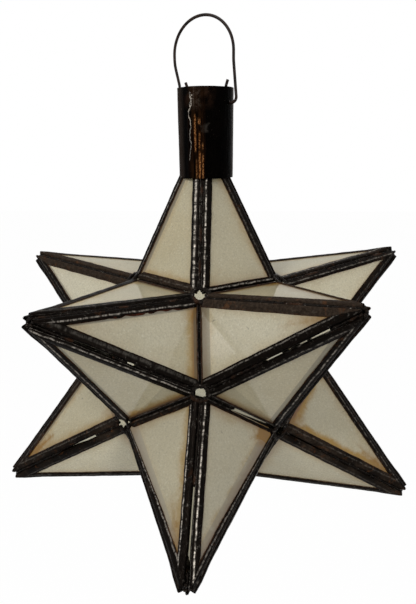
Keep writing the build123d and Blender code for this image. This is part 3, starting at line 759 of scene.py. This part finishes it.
def bulb_glass_material():
    """Thin clear glass with a little dust on it."""
    n = Nodes("bulb_glass")
    dust = n.noise(n.place(), 160.0, 4.0, 0.6)
    inputs = {
        "Base Color": n.mix(n.step(dust, 0.4, 0.7), (0.92, 0.93, 0.92), (0.8, 0.79, 0.74)),
        "Roughness": n.step(dust, 0.35, 0.75, 0.03, 0.2),
        "Transmission Weight": 0.92,
        "IOR": 1.45,
        "Normal": n.bump(dust, 0.1, 0.0002),
    }
    return n.finish(n.surface(inputs))


TIN_LOOK = tin_material()
BRIGHT_LOOK = plain_metal("bare_solder", (0.02, 0.016, 0.013), (0.3, 0.265, 0.22), 0.3, (0.3, 0.5), 420.0)
SOLDER_LOOK = solder_material()
PANE_LOOK = pane_material()


# ---- strips ----
# How far the outer side bulges, the fold's radius and its middle's depth, and the fold behind it.
CROWN = 0.42
FOLD = 0.9
FOLD_MIDDLE = -0.95
BACK_FOLD = 0.45
# The outline's first places, from its inner rim: how many are the rim itself, how many move with
# it, and how many make up the outer side before the fold.
RIM_PLACES, SOFT_PLACES, OUTER_PLACES = 3, 5, 7
STATIONS = 64
PLAY = 0.05
# How far in from the fold a slit still draws the strip, how long its ends are, and how much of its
# draw shows on the outer side of a ridge and everywhere else.
SLIT_WIDTH, SLIT_END = 1.2, 1.5
SLIT_OUTSIDE, SLIT_BELOW = 0.3, 1.2
# Where a strip starts to bend outwards to its tip, in how much of its length, and how far up it flares.
SPLAY_FROM, SPLAY_OVER, FLARE_UP_TO = 0.78, 0.12, 0.6
PLAIN_STRIP = {"rust": 0.35, "shine": 0.45, "lip": 0.0, "flare": 0.0, "spread": 1.0, "slits": []}


def section(outside, inside):
    """A strip's cut: (inwards, depth) round the outer side, the fold, the inner side and back."""
    rim = [(outside - 0.12, -0.3), (outside + 0.03, -0.14), (outside - 0.12, 0.08)]
    for share in (0.86, 0.68, 0.5, 0.34):
        x = 1.15 + (outside - 1.3) * share
        rim.append((x, CROWN * math.sin(math.pi * (0.12 + 0.88 * share) ** 0.8)))
    for a in (90, 68, 45, 22, 0):
        r = math.radians(a)
        rim.append((FOLD - FOLD * math.cos(r), FOLD_MIDDLE + math.sin(r)))
    rim.append((0.0, -DEPTH / 2))
    for a in (0, 45, 90):
        r = math.radians(a)
        rim.append((BACK_FOLD - BACK_FOLD * math.cos(r), -DEPTH + BACK_FOLD - BACK_FOLD * math.sin(r)))
    rim += [(inside * 0.6, -DEPTH), (inside, -DEPTH), (inside, -DEPTH + TIN)]
    rim += [(1.0, -DEPTH + TIN), (TIN + 0.1, -DEPTH + 0.8), (TIN, -DEPTH / 2)]
    rim += [(TIN + 0.1, -0.9), (1.0, -0.36)]
    return rim


def meeting(half, x, other):
    """Where a strip's line at one width meets the next strip's line at another, along the side."""
    return (other + x * math.cos(2 * half)) / math.sin(2 * half)


def is_outer(z):
    """Whether a depth is on a strip's outer side rather than in its channel."""
    return z > -1.0


class Strip:
    """One uneven strip along a side of a panel."""

    def __init__(self, point, panel, side):
        self.side = side
        self.plane = Panel(point, panel)
        self.look = {**PLAIN_STRIP, **STRIPS.get((point, panel, side), {})}
        self.seed = (hash_of(point) * 31 + panel * 7 + side * 3) % 97 / 97
        self.start, end, self.start_half, self.end_half = SIDES[side]
        self.length = (end - self.start).length
        self.way = (end - self.start) / self.length
        self.inwards = Vector((-self.way.y, self.way.x))
        self.wide = self.look.get("wide", RIDGE_FLANGE if side else VALLEY_OUTSIDE)
        self.foot_wide = STRIPS.get((point, panel, 0), {}).get("wide", VALLEY_OUTSIDE)
        self.outline = section(self.wide, RIDGE_FLANGE if side else VALLEY_INSIDE)
        self.cut = slant_of(end_of(point)) + 0.5 * rough(self.seed * 50, 3.1)
        self.splay = TIP_SPLAYS.get(point, 0.5)

    def ends(self, x, outer):
        """Where the strip's line at one width starts and ends, along the side."""
        meet = [x, x]
        if outer and self.side:
            meet[self.side - 1] = min(x, self.foot_wide - 0.1)
        low = meeting(self.start_half, x, meet[0]) + PLAY
        high = self.length - meeting(self.end_half, x, meet[1]) - PLAY
        for end, hole in zip((-1, 1), self.plane.holes):
            corner = Vector((end * HALF_BASE, 0)) - self.start
            off = corner.dot(self.inwards) - x
            if abs(off) < hole:
                reach = math.sqrt(hole**2 - off**2)
                if corner.dot(self.way) < self.length / 2:
                    low = max(low, corner.dot(self.way) + reach)
                else:
                    high = min(high, corner.dot(self.way) - reach)
        if self.side:
            at_cut = (self.cut - self.start.y - self.inwards.y * x) / self.way.y
            if self.side == 1:
                high = min(high, at_cut)
            else:
                low = max(low, at_cut)
        return low, high

    def ragged(self, j, t):
        """How far the inner rim of the outer side strays inwards."""
        if j >= SOFT_PLACES:
            return 0.0
        stray = 0.3 * rough(t * 0.09, self.seed * 90) + 0.1 * rough(t * 0.7, self.seed * 70, 5)
        if j <= RIM_PLACES:
            near = share_of(t, LIP_LOW, LIP_RISE) * share_of(LIP_HIGH - t, 0, LIP_FADE)
            stray -= 1.3 * self.look["lip"] * near * max(0.0, rough(t * 0.3, 9.3, self.seed) + 0.12)
        return stray * (1 if j < RIM_PLACES else 0.5)

    def slit(self, from_foot):
        """How far a slit draws the strip back here, and how much its own waver is calmed."""
        drawn, steady = 0.0, 0.0
        for low, high, draw in self.look["slits"]:
            into = min(from_foot - low, high - from_foot) * self.length
            if into > -SLIT_END:
                steady = min(1.0, (into + SLIT_END) / (2 * SLIT_END))
                drawn = draw * steady
        return drawn, steady

    def place(self, j, t):
        """Where the outline's j-th place lies at a length along the strip."""
        x, z = self.outline[j]
        x_now, z_now = x, z
        seed = self.seed
        outer = is_outer(z)
        from_foot = t / self.length if self.side != 2 else 1 - t / self.length
        if j < OUTER_PLACES:
            x_now += self.look["flare"] * x / self.wide * max(0.0, 1 - from_foot / FLARE_UP_TO)
        if self.side:
            z_now += self.splay * share_of(from_foot, SPLAY_FROM, SPLAY_OVER) ** 1.5
        x_now += self.ragged(j, t)
        if outer:
            wave = 0.16 * rough(t * 0.17, x * 0.5, seed * 60)
            z_now += wave + 0.08 * rough(t * 0.8, x * 1.1, seed * 30)
        if x < SLIT_WIDTH:
            drawn, steady = self.slit(from_foot)
            uneven = 0.1 * rough(t * 0.06, seed * 45, 2.0) + 0.04 * rough(t * 0.5, z, seed * 15)
            drawn *= SLIT_OUTSIDE if outer and self.side else SLIT_BELOW
            x_now += drawn + uneven * (1.0 - 0.8 * steady)
        flat = self.start + self.way * t + self.inwards * max(x_now, -0.1)
        return self.plane.place(flat.x, flat.y, z_now)

    def marks(self, j, t):
        """What the tin's material reads at a place: strip, wear and gloss, and where its painted highlight
        line runs.
        """
        x, z = self.outline[j]
        look, outer = self.look, is_outer(z)
        crest = self.wide * look.get("crest", 0.3 + 0.45 * self.seed)
        return (
            (self.wide - x if outer else 3.0, t, self.seed),
            (look["rust"], look["shine"], look["lip"] if outer else 0.0),
            (crest, look.get("line", 0.3 * look["shine"]), look["spread"]),
        )

    def add_to(self, mesh):
        first = len(mesh.verts)
        for i in range(STATIONS + 1):
            for j, (x, z) in enumerate(self.outline):
                low, high = self.ends(x, is_outer(z))
                t = low + i / STATIONS * max(high - low, 0.3)
                mesh.put(self.place(j, t), *self.marks(j, t))
        mesh.wrap(first, len(self.outline), STATIONS)


for point in POINTS:
    mesh = Mesh("strip", "wear", "crest")
    for panel in range(5):
        for side in range(3):
            Strip(point, panel, side).add_to(mesh)
    piece = mesh.finish(point + "_strips", TIN_LOOK, "came_tin")
    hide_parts(point + "_cames")


# ---- panes ----
PANE_PLAY = 0.05
# How far a pane stays inside its strips' outline, and how much is cut off its base corners and tip.
PANE_INSET = 0.8
CORNER_CUT = 4.4
TIP_CUT = 12.0


def inset(corner):
    return corner + (CENTRE - corner) * (PANE_INSET / OUT_RADIUS)


def rim_distances(p):
    """How far a place on a panel is from each of its three sides."""
    out = []
    for start, end, _, _ in SIDES:
        way = (end - start).normalized()
        out.append((p - start).dot(Vector((-way.y, way.x))))
    return tuple(out)


def beyond_wedge(p, on_base, on_ridge):
    """How far a place is past the line that cuts off a base corner, at these lengths from it."""
    if not on_base:
        return 10.0
    end = 1 if on_base > 0 else -1
    corner = Vector((end * HALF_BASE, 0))
    low = corner - Vector((on_base, 0))
    high = corner + on_ridge * Vector((-corner.x, SLANT)).normalized()
    away = Vector((high.y, low.x - high.x)).normalized()
    return -end * (p - low).dot(away)


def clipped(outline, cut):
    """The part of an outline below a level."""
    out = []
    for a, b in zip(outline, outline[1:] + outline[:1]):
        if a.y <= cut:
            out.append(a)
        if (a.y <= cut) != (b.y <= cut):
            out.append(a + (b - a) * ((cut - a.y) / (b.y - a.y)))
    return out


def pane_outline(point):
    """A pane's outline, with its base corners cut off round the holes."""
    left, right, top = (inset(c) for c in (BASE_LEFT, BASE_RIGHT, TOP))
    up = CORNER_CUT * (top - right).normalized()
    outline = [left + Vector((CORNER_CUT, 0)), right - Vector((CORNER_CUT, 0)), right + up]
    outline += [top, left + Vector((-up.x, up.y))]
    return clipped(outline, slant_of(end_of(point)) - (0 if point == "top_point" else TIP_CUT))


def pane_look(point, panel):
    """A pane's look from the photograph, or an even one where it isn't seen."""
    seed = (hash_of(point) * 17 + panel * 29) % 53 / 53
    look = {
        "tone": 0.92 + 0.14 * seed,
        "warm": 0.3 + 0.4 * seed,
        "stain": (0.3, 0.15 + 0.3 * seed, 0.4 - 0.3 * seed),
        "band": (5.0, 0, 0),
        "pale": 0.0,
        "spot": (0.2 * seed, 0.0, 0.25 * (1 - seed)),
        "wedge": (0, 0, 0),
    }
    return {**look, **PANES.get((point, panel), {})}


for point in POINTS:
    mesh = Mesh("rim", "stain", "band", "spot", "tint", "wedge")
    outline = pane_outline(point)
    for panel in range(5):
        look = pane_look(point, panel)
        on_base, on_ridge, deep = look["wedge"]
        plane = Panel(point, panel)
        first = len(mesh.verts)
        for inner in (0.0, 1.0):
            for p in outline:
                place = plane.place(p.x, p.y, -TIN - PANE_PLAY - inner * GLASS)
                tint = (look["tone"], look["warm"], inner)
                wedge = (beyond_wedge(p, on_base, on_ridge), deep, look["pale"])
                marks = (rim_distances(p), look["stain"], look["band"], look["spot"], tint, wedge)
                mesh.put(place, *marks)
        mesh.wrap(first, len(outline), 1)
    piece = mesh.finish(point + "_glass", PANE_LOOK, "pane_glass", is_smooth=False)
    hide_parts(point + "_panes")


# ---- solder ----
def add_bar(mesh, matrix, profile, low, high, seed, swell, ends):
    """A lumpy bar along a matrix's Z between two lengths, with its profile in X and Y.

    ends gives two lengths along Z and how far the star has moved at each of them.
    """
    steps = max(2, int((high - low) / 1.1))
    first, count = len(mesh.verts), len(profile)
    mid = sum((Vector(p) for p in profile), Vector((0, 0))) / count
    (from_z, from_shift), (to_z, to_shift) = ends
    for i in range(steps + 1):
        z = low + (high - low) * i / steps
        grow = 1.0 + swell * rough(z * 0.35, seed * 40) if 0 < i < steps else 0.6
        shift = from_shift + (to_shift - from_shift) * ((z - from_z) / (to_z - from_z))
        for j, p in enumerate(profile):
            q = mid + (Vector(p) - mid) * grow * (1 + 0.25 * rough(z * 0.8, j * 3.1, seed * 20))
            mesh.put(matrix @ Vector((q.x, q.y, z)) + shift)
    mesh.wrap(first, count, steps, is_turned=True)


def add_lump(mesh, centre, axes, size, seed, uneven=0.3, rings=9, around=14):
    """A blob: three half sizes along three axes, made uneven."""
    first = len(mesh.verts)
    for i in range(rings + 1):
        a = math.pi * i / rings
        for j in range(around):
            b = 2 * math.pi * j / around
            d = Vector((math.sin(a) * math.cos(b), math.sin(a) * math.sin(b), math.cos(a)))
            grow = 1 + uneven * noise.noise(d * 1.7 + Vector((seed * 31, seed * 7, 0)))
            p = sum((axes[m] * (d[m] * size[m] * grow) for m in range(3)), Vector((0, 0, 0)))
            mesh.put(centre + p)
    mesh.wrap(first, around, rings, is_capped=False)


# A ridge's run: its profile fills the groove between two strips, from their inner sides upwards.
COS, SIN = math.cos(HALF_RIDGE), math.sin(HALF_RIDGE)
RIDGE_LOW = -SETBACK * COS - DEPTH * SIN
RIDGE_LENGTH = math.hypot(FOOT_R, HEIGHT)
RIDGE = frame_of((HEIGHT, 0, FOOT_R), (-FOOT_R, 0, HEIGHT), (FOOT_R, 0, FOOT))
FILL, FILL_CROWN = 1.05, 1.35
LOW_HALF = GAP / 2 + 0.08
HIGH_HALF = GAP / 2 + FILL * COS / SIN
RIDGE_PROFILE = [(RIDGE_LOW, -LOW_HALF), (RIDGE_LOW + FILL, -HIGH_HALF), (RIDGE_LOW + FILL_CROWN, 0)]
RIDGE_PROFILE += [(RIDGE_LOW + FILL, HIGH_HALF), (RIDGE_LOW, LOW_HALF)]


def add_ridge(mesh, point, k):
    """The run of solder in one ridge, with gaps where the strips stand apart."""
    matrix = fifth_of(point, k + 0.5, RIDGE)
    seed = (hash_of(point) + k * 13) % 41 / 41
    foot = matrix @ Vector((0, 0, 0))
    ends = [(0.0, corner_shift(foot)), (RIDGE_LENGTH, tip_shift(point))]
    low = hole_radius(foot) + 1
    spans = []
    for low_share, high_share, _ in sorted(STRIPS.get((point, k, 1), {}).get("slits", [])):
        spans.append((low, low_share * RIDGE_LENGTH))
        low = high_share * RIDGE_LENGTH
    spans.append((low, (end_of(point) - FOOT) * RIDGE_LENGTH / HEIGHT - 0.5))
    for a, b in spans:
        if b - a > 1.5:
            add_bar(mesh, matrix, RIDGE_PROFILE, a, b, seed, 0.35, ends)


# A tip's lumps: their half sizes, how far off the axis they are and how far below the tip.
TIP_LUMP = (1.5, 1.3, 1.2)
TIP_OFF, TIP_DOWN, MIDDLE_DOWN = 2.1, 2.1, 3.6


def add_tip(mesh, point):
    """The blob on a blunt tip: five lumps round it and one in its middle."""
    axes = [POINTS[point].to_3x3() @ Vector(v) for v in ((1, 0, 0), (0, 1, 0), (0, 0, 1))]
    for k in range(6):
        is_middle = k == 5
        turn = k * 1.26 + hash_of(point)
        off = 0.0 if is_middle else TIP_OFF
        level = TIP - (MIDDLE_DOWN if is_middle else TIP_DOWN) - 0.3 * (k % 3)
        spot = POINTS[point] @ Vector((off * math.cos(turn), off * math.sin(turn), level))
        spot += tip_shift(point) * ((TIP - FOOT) / HEIGHT)
        wide, deep, tall = TIP_LUMP
        add_lump(mesh, spot, axes, (wide, deep, tall + 0.25 * rough(k * 1.3, turn)), turn)


for point in POINTS:
    mesh = Mesh()
    for k in range(5):
        add_ridge(mesh, point, k)
    if point != "top_point":
        add_tip(mesh, point)
    piece = mesh.finish(point + "_solder_runs", SOLDER_LOOK, "solder")
    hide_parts(point + "_solder")

# The valleys' seams, under the panels. Each of the 30 valleys is named once, by a point and a side.
LEAN = math.atan2(HEIGHT, FOOT_IN) - math.atan(1 / GOLDEN)
VALLEY = frame_of((FOOT_IN, 0, FOOT), (0, 1, 0), (FOOT_IN, 0, FOOT))
VALLEY_TURNS = [("top_point", range(5)), ("bottom_point", range(5))]
VALLEY_TURNS += [("upper_" + name + "_point", range(1, 4)) for name in UPPER]
VALLEY_TURNS += [("lower_" + name + "_point", range(1, 2)) for name in LOWER]
OPEN_HALF = GAP / 2 / math.cos(LEAN)
VALLEY_PROFILE = [
    (-0.45, -OPEN_HALF - 0.3),
    (-1.7, -OPEN_HALF - 1.2),
    (-1.9, 0),
    (-1.7, OPEN_HALF + 1.2),
    (-0.45, OPEN_HALF + 0.3),
]
VALLEY_HALF = HALF_BASE - HOLE - 1
# One valley stands open along a part of its length.
OPEN_VALLEY = (RF, 2)
OPEN_FROM, OPEN_TO = -0.16 * HALF_BASE, 0.84 * HALF_BASE

mesh = Mesh()
for point, ks in VALLEY_TURNS:
    for k in ks:
        matrix = fifth_of(point, k, VALLEY)
        seed = (hash_of(point) + k) % 37 / 37
        spans = [(-VALLEY_HALF, VALLEY_HALF)]
        if (point, k) == OPEN_VALLEY:
            spans = [(-VALLEY_HALF, OPEN_FROM), (OPEN_TO, VALLEY_HALF)]
        ends = [(z, corner_shift(matrix @ Vector((0, 0, z)))) for z in (-HALF_BASE, HALF_BASE)]
        for a, b in spans:
            if b - a > 1.0:
                add_bar(mesh, matrix, VALLEY_PROFILE, a, b, seed, 0.15, ends)
piece = mesh.finish("valley_solder_runs", SOLDER_LOOK, "solder")
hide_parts("valley_solder")

# The 20 corners where three points meet: a ragged ring of solder round each hole, and in most a plug.
corners = []
for point in POINTS:
    for k in range(5):
        spot = fifth_of(point, k + 0.5, Matrix.Identity(4)) @ Vector((FOOT_R, 0, FOOT))
        if all((spot - other).length > 1 for other in corners):
            corners.append(spot)


TOP_CORNER = (0, 1.309)
OPEN_CORNERS = [TOP_CORNER, (0, 0.191), (-36, -0.191)]
# A ring's and a plug's lumps: how many, and their half sizes.
RING_LUMPS, RING_LUMP = 11, (1.9, 1.5, 0.8)
PLUG_LUMPS, PLUG_LUMP = 4, (2.6, 2.4, 1.0)
# How far outside its hole a ring's middle line is, and how far the top corner's has slipped aside.
RING_OUT, TOP_RING_OUT, TOP_RING_ASIDE = 1.15, 1.3, 0.7


def add_corner(mesh, corner, number):
    """The ring round one corner's hole, and in most of the corners its plug."""
    is_top = is_toward(corner, *TOP_CORNER)
    ring = hole_radius(corner) + (TOP_RING_OUT if is_top else RING_OUT)
    out = (corner - STAR).normalized()
    side = out.orthogonal().normalized()
    up = out.cross(side)
    middle = corner + corner_shift(corner) + Vector((TOP_RING_ASIDE if is_top else 0.0, 0, 0))
    for k in range(RING_LUMPS):
        a = 2 * math.pi * k / RING_LUMPS + number
        swing = ring + 0.5 * rough(k * 1.7, number * 2.3)
        level = 0.1 + 0.5 * rough(k * 0.9, number)
        spot = middle + out * level + (side * math.cos(a) + up * math.sin(a)) * swing
        around = side * -math.sin(a) + up * math.cos(a)
        axes = [around, out.cross(around), out]
        add_lump(mesh, spot, axes, RING_LUMP, k + number * 3.3, 0.5, 9, 12)
    if number % 3 == 0 or any(is_toward(corner, *place) for place in OPEN_CORNERS):
        return
    for k in range(PLUG_LUMPS):
        a = k * 1.6 + number
        spot = middle - out * 0.6 + (side * math.cos(a) + up * math.sin(a)) * 1.6
        add_lump(mesh, spot, [side, up, out], PLUG_LUMP, k + number * 1.7, 0.5)


mesh = Mesh()
for number, corner in enumerate(corners):
    add_corner(mesh, corner, number)
mesh.finish("corner_solder", SOLDER_LOOK, "solder")

# ---- the collar ----
RIM_IN, FOOT_IN_RADIUS, LONG, SHEET = 16.5, 16.1, 50.5, 0.35
# The radius that turns an angle into a length round the collar, and the same at its holes.
ARC, HOLE_ARC = 16.2, 16.3
FOOT_DROP, DROP_UP_TO = 1.2, 25
LAP = math.radians(32)
# The angle in which the overlapping sheet comes down to the one under it.
LAP_END = 0.14
EDGE = math.radians(-89)
HOOKS = [math.radians(-26), math.radians(154)]
HOOK_UP = LONG - 8.7
# A hole's rim, the cells that are left out in it, and from where to where cells are pushed aside.
HOOK_HOLE, LEFT_OUT, PUSHED_FROM, PUSHED_TO = 1.15, 0.72, 0.55, 3.2
TURNS, ROWS = 230, 76
ROUND = 2 * math.pi + LAP
# A cell's neighbours, each with the two corners of the cell that it shares.
NEIGHBOURS = [
    ((-1, 0), (0, 0), (0, 1)),
    ((1, 0), (1, 1), (1, 0)),
    ((0, -1), (1, 0), (0, 0)),
    ((0, 1), (0, 1), (1, 1)),
]


def collar_point(a, up, layer):
    """A point of the collar's sheet: angle back from the free edge, height and side."""
    angle = EDGE - a
    over = 1.0 - share_of(a, LAP, LAP_END) if a < 1.0 else 0.0
    radius = FOOT_IN_RADIUS + (RIM_IN - FOOT_IN_RADIUS) * up / LONG + over * SHEET * 1.08
    arc = angle * ARC
    radius += 0.1 * rough(arc * 0.12, up * 0.07, 1.3) + 0.06 * rough(arc * 0.5, up * 0.22, 7.7)
    radius += layer * SHEET
    rise = up - FOOT_DROP * max(0.0, 1 - up / DROP_UP_TO)
    if up > LONG - 0.1:
        rise += 0.25 * rough(arc * 0.16, 4.4)
        rise = min(rise, LONG)
    if up < 0.1:
        rise += 0.25 * rough(arc * 0.2, 8.1)
    return Vector((radius * math.cos(angle), radius * math.sin(angle), STAR_Z + COLLAR_FOOT + rise))


def off_hook(a, hook):
    """How far round a place on the collar is from a hook's hole."""
    return ((EDGE - a - hook + math.pi) % (2 * math.pi) - math.pi) * HOLE_ARC


def pushed(a, up):
    """A place on the sheet, moved away from the middle of a hole that it is near to."""
    a_now, up_now = a, up
    for hook in HOOKS:
        off = off_hook(a, hook)
        rise = up - HOOK_UP
        far = math.hypot(off, rise)
        if far < PUSHED_TO:
            share = max(far - PUSHED_FROM, 0) / (PUSHED_TO - PUSHED_FROM)
            grow = (HOOK_HOLE + (PUSHED_TO - HOOK_HOLE) * share) / max(far, 0.01)
            a_now = a - (off * grow - off) / HOLE_ARC
            up_now = HOOK_UP + rise * grow
    return a_now, up_now


def is_left_out(i, j):
    """Whether a cell of the sheet lies in one of the holes."""
    a = ROUND * (i + 0.5) / TURNS
    up = LONG * (j + 0.5) / ROWS
    return any(math.hypot(off_hook(a, hook), up - HOOK_UP) < LEFT_OUT for hook in HOOKS)


def make_collar():
    """The rolled sheet: an outer and an inner layer of cells, closed at every edge."""
    mesh = Mesh("skin")
    for layer in (1, 0):
        for i in range(TURNS + 1):
            for j in range(ROWS + 1):
                a, up = pushed(ROUND * i / TURNS, LONG * j / ROWS)
                around = -a if a < math.pi else ROUND - LAP - a
                place = collar_point(a, min(max(up, 0), LONG), layer)
                mesh.put(place, (around * ARC, up, float(layer)))
    size = (TURNS + 1) * (ROWS + 1)

    def add(*places):
        mesh.faces.append(tuple(layer * size + i * (ROWS + 1) + j for layer, i, j in places))

    cells = [(i, j) for i in range(TURNS) for j in range(ROWS)]
    left_out = {cell: is_left_out(*cell) for cell in cells}
    for i, j in cells:
        if not left_out[i, j]:
            add((0, i, j), (0, i, j + 1), (0, i + 1, j + 1), (0, i + 1, j))
            add((1, i, j), (1, i + 1, j), (1, i + 1, j + 1), (1, i, j + 1))
            continue
        for (di, dj), p, q in NEIGHBOURS:
            if not left_out.get((i + di, j + dj), True):
                a, b = (i + p[0], j + p[1]), (i + q[0], j + q[1])
                add((0, *a), (0, *b), (1, *b), (1, *a))
    for i in range(TURNS):
        add((0, i, 0), (0, i + 1, 0), (1, i + 1, 0), (1, i, 0))
        add((0, i, ROWS), (1, i, ROWS), (1, i + 1, ROWS), (0, i + 1, ROWS))
    for j in range(ROWS):
        add((0, 0, j), (1, 0, j), (1, 0, j + 1), (0, 0, j + 1))
        add((0, TURNS, j), (0, TURNS, j + 1), (1, TURNS, j + 1), (1, TURNS, j))
    piece = mesh.finish("rolled_collar", collar_material(), "collar_tin")
    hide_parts("collar")


def add_seam_lump(mesh, arc, up, size, seed, uneven):
    """A lump of solder on the outside of the collar."""
    spot = collar_point(arc, up, 1)
    out = Vector((spot.x, spot.y, 0)).normalized()
    axes = [Vector((-out.y, out.x, 0)), Vector((0, 0, 1)), out]
    add_lump(mesh, spot, axes, size, seed, uneven, 6, 9)


# The seam's run of beads and the patch at its top: how many, where the first one is, how far apart.
SEAM_BEADS, SEAM_TOP, SEAM_PITCH = 74, 47.0, 0.5
PATCH_LUMPS, PATCH_TOP, PATCH_PITCH = 9, 46.5, 0.9
PATCH_LUMP = (0.5, 0.55, 0.22)


def make_seam():
    """A wavy run of solder down the collar where the lap starts, and a patch at its upper end."""
    mesh = Mesh()
    for i in range(SEAM_BEADS):
        up = SEAM_TOP - i * SEAM_PITCH
        thick = 0.9 - 0.5 * i / SEAM_BEADS
        arc = LAP - 0.07 + 0.1 * rough(up * 0.13, 2.2) + 0.05 * rough(up * 0.45, 5.1)
        is_broken = rough(up * 0.35, 6.4) > 0.42 and i > 8
        if not is_broken:
            size = (0.42 * thick * (1 + 0.9 * rough(up * 0.6, 3.3)), 0.6, 0.2 * thick)
            add_seam_lump(mesh, arc, up, size, up, 0.4)
    for k in range(PATCH_LUMPS):
        arc = LAP - 0.09 + 0.09 * rough(k * 3.3, 1.1) - 0.04 * (k % 2)
        add_seam_lump(mesh, arc, PATCH_TOP - k * PATCH_PITCH, PATCH_LUMP, k * 1.7, 0.6)
    mesh.finish("collar_seam_solder", BRIGHT_LOOK, "solder")


make_collar()
make_seam()

# ---- CAD pieces whose shape is right ----
BRASS = plain_metal("aged_brass", (0.28, 0.17, 0.05), (0.5, 0.34, 0.12), 0.95, (0.25, 0.5), 130.0)
MOULDING = plain_metal("black_moulding", (0.008, 0.007, 0.006), (0.02, 0.017, 0.014), 0.0, (0.3, 0.5), 90.0)
CARRIED = {
    "bail": plain_metal(
        "rusty_wire", (0.0035, 0.002, 0.0015), (0.02, 0.0105, 0.007), 0.0, (0.35, 0.6), 180.0, 0.12
    ),
    "collar_solder": SOLDER_LOOK,
    "lampholder_bridge": plain_metal(
        "strap_steel", (0.2, 0.19, 0.17), (0.34, 0.32, 0.29), 0.9, (0.3, 0.5), 120.0
    ),
    "lampholder_nipple": BRASS,
    "lock_nut": BRASS,
    "lampholder_cap": BRASS,
    "lampholder_body": MOULDING,
    "screw_shell": BRASS,
    "centre_contact": BRASS,
    "bulb_cap": plain_metal(
        "bulb_cap_metal", (0.42, 0.41, 0.38), (0.6, 0.59, 0.56), 0.95, (0.25, 0.45), 150.0
    ),
    "bulb_glass": bulb_glass_material(),
    "filament_stem": plain_metal(
        "glass_stem", (0.45, 0.45, 0.43), (0.62, 0.62, 0.6), 0.0, (0.15, 0.35), 110.0
    ),
}
for node, material in CARRIED.items():
    for one in bpy.data.objects[node].material_slots:
        one.material = material

# ---- the room: a white floor far below, soft lights and the photograph's camera ----
ROOM_HALF, FLOOR_Z = 6, -0.9
WHITE = (1, 1, 1, 1)


def seen_directly(n):
    """One where the eye meets a surface straight, mirrored or through glass."""
    rays = n.put("ShaderNodeLightPath").outputs
    return n.most(rays["Is Camera Ray"], rays["Is Glossy Ray"], rays["Is Transmission Ray"])


def floor_material():
    """White to the eye, and a dull near-white to the light."""
    n = Nodes("white_floor")
    dull = n.put("ShaderNodeBsdfDiffuse", {"Color": (0.8, 0.8, 0.79, 1.0)}).outputs[0]
    plain = n.put("ShaderNodeEmission", {"Color": WHITE, "Strength": 1.0}).outputs[0]
    inputs = {0: n.times(seen_directly(n), 0.985), 1: dull, 2: plain}
    return n.finish(n.put("ShaderNodeMixShader", inputs).outputs[0])


def make_floor():
    mesh = bpy.data.meshes.new("floor")
    sides = [(-1, -1), (1, -1), (1, 1), (-1, 1)]
    mesh.from_pydata([(x * ROOM_HALF, y * ROOM_HALF, FLOOR_Z) for x, y in sides], [], [(0, 1, 2, 3)])
    mesh.materials.append(floor_material())
    floor = add_object("floor", mesh)


def make_world():
    """White to the eye, and a third of it to the object."""
    n = Nodes("studio", "worlds")
    white = n.put("ShaderNodeBackground", {"Color": WHITE, "Strength": 1.0}).outputs[0]
    room = n.put("ShaderNodeBackground", {"Color": (0.98, 0.98, 0.97, 1), "Strength": 0.33}).outputs[0]
    both = n.put("ShaderNodeMixShader", {0: seen_directly(n), 1: room, 2: white}).outputs[0]
    bpy.context.scene.world = n.finish(both, "ShaderNodeOutputWorld")


def area_light(name, place, width, height, power, colour=(1, 1, 1)):
    """A soft light that looks at the middle of the star."""
    lamp = bpy.data.lights.new(name, "AREA")
    lamp.shape = "RECTANGLE"
    lamp.size, lamp.size_y = width, height
    lamp.energy = power
    lamp.color = colour
    add_object(name, lamp, place, (STAR * MM - Vector(place)).to_track_quat("-Z", "Y"))


# The photograph's camera: where it stands and looks, in millimetres, its lens and its roll.
EYE = Vector((29.17, -350.76, STAR_Z + 148.73))
AIM = Vector((0.39, 0, STAR_Z + 42.40))
LENS, SENSOR = 32.93, 36
ROLL = math.radians(-0.52)


def make_camera():
    data = bpy.data.cameras.new("camera")
    data.lens = LENS
    data.sensor_width = SENSOR
    data.clip_start = 0.01
    look = (AIM * MM - EYE * MM).to_track_quat("-Z", "Y")
    turn = look @ Matrix.Rotation(ROLL, 3, "Z").to_quaternion()
    bpy.context.scene.camera = add_object("camera", data, EYE * MM, turn)


make_floor()
make_world()
area_light("window", (-0.85, -0.95, 0.95), width=0.4, height=0.6, power=17, colour=(1.0, 0.98, 0.95))
area_light("side", (0.75, -1.15, 0.25), width=0.22, height=0.8, power=8, colour=(1.0, 0.97, 0.93))
area_light("ceiling", (0.15, 0.35, 1.2), width=0.9, height=0.7, power=7)
make_camera()
bpy.context.scene.view_settings.view_transform = "Standard"
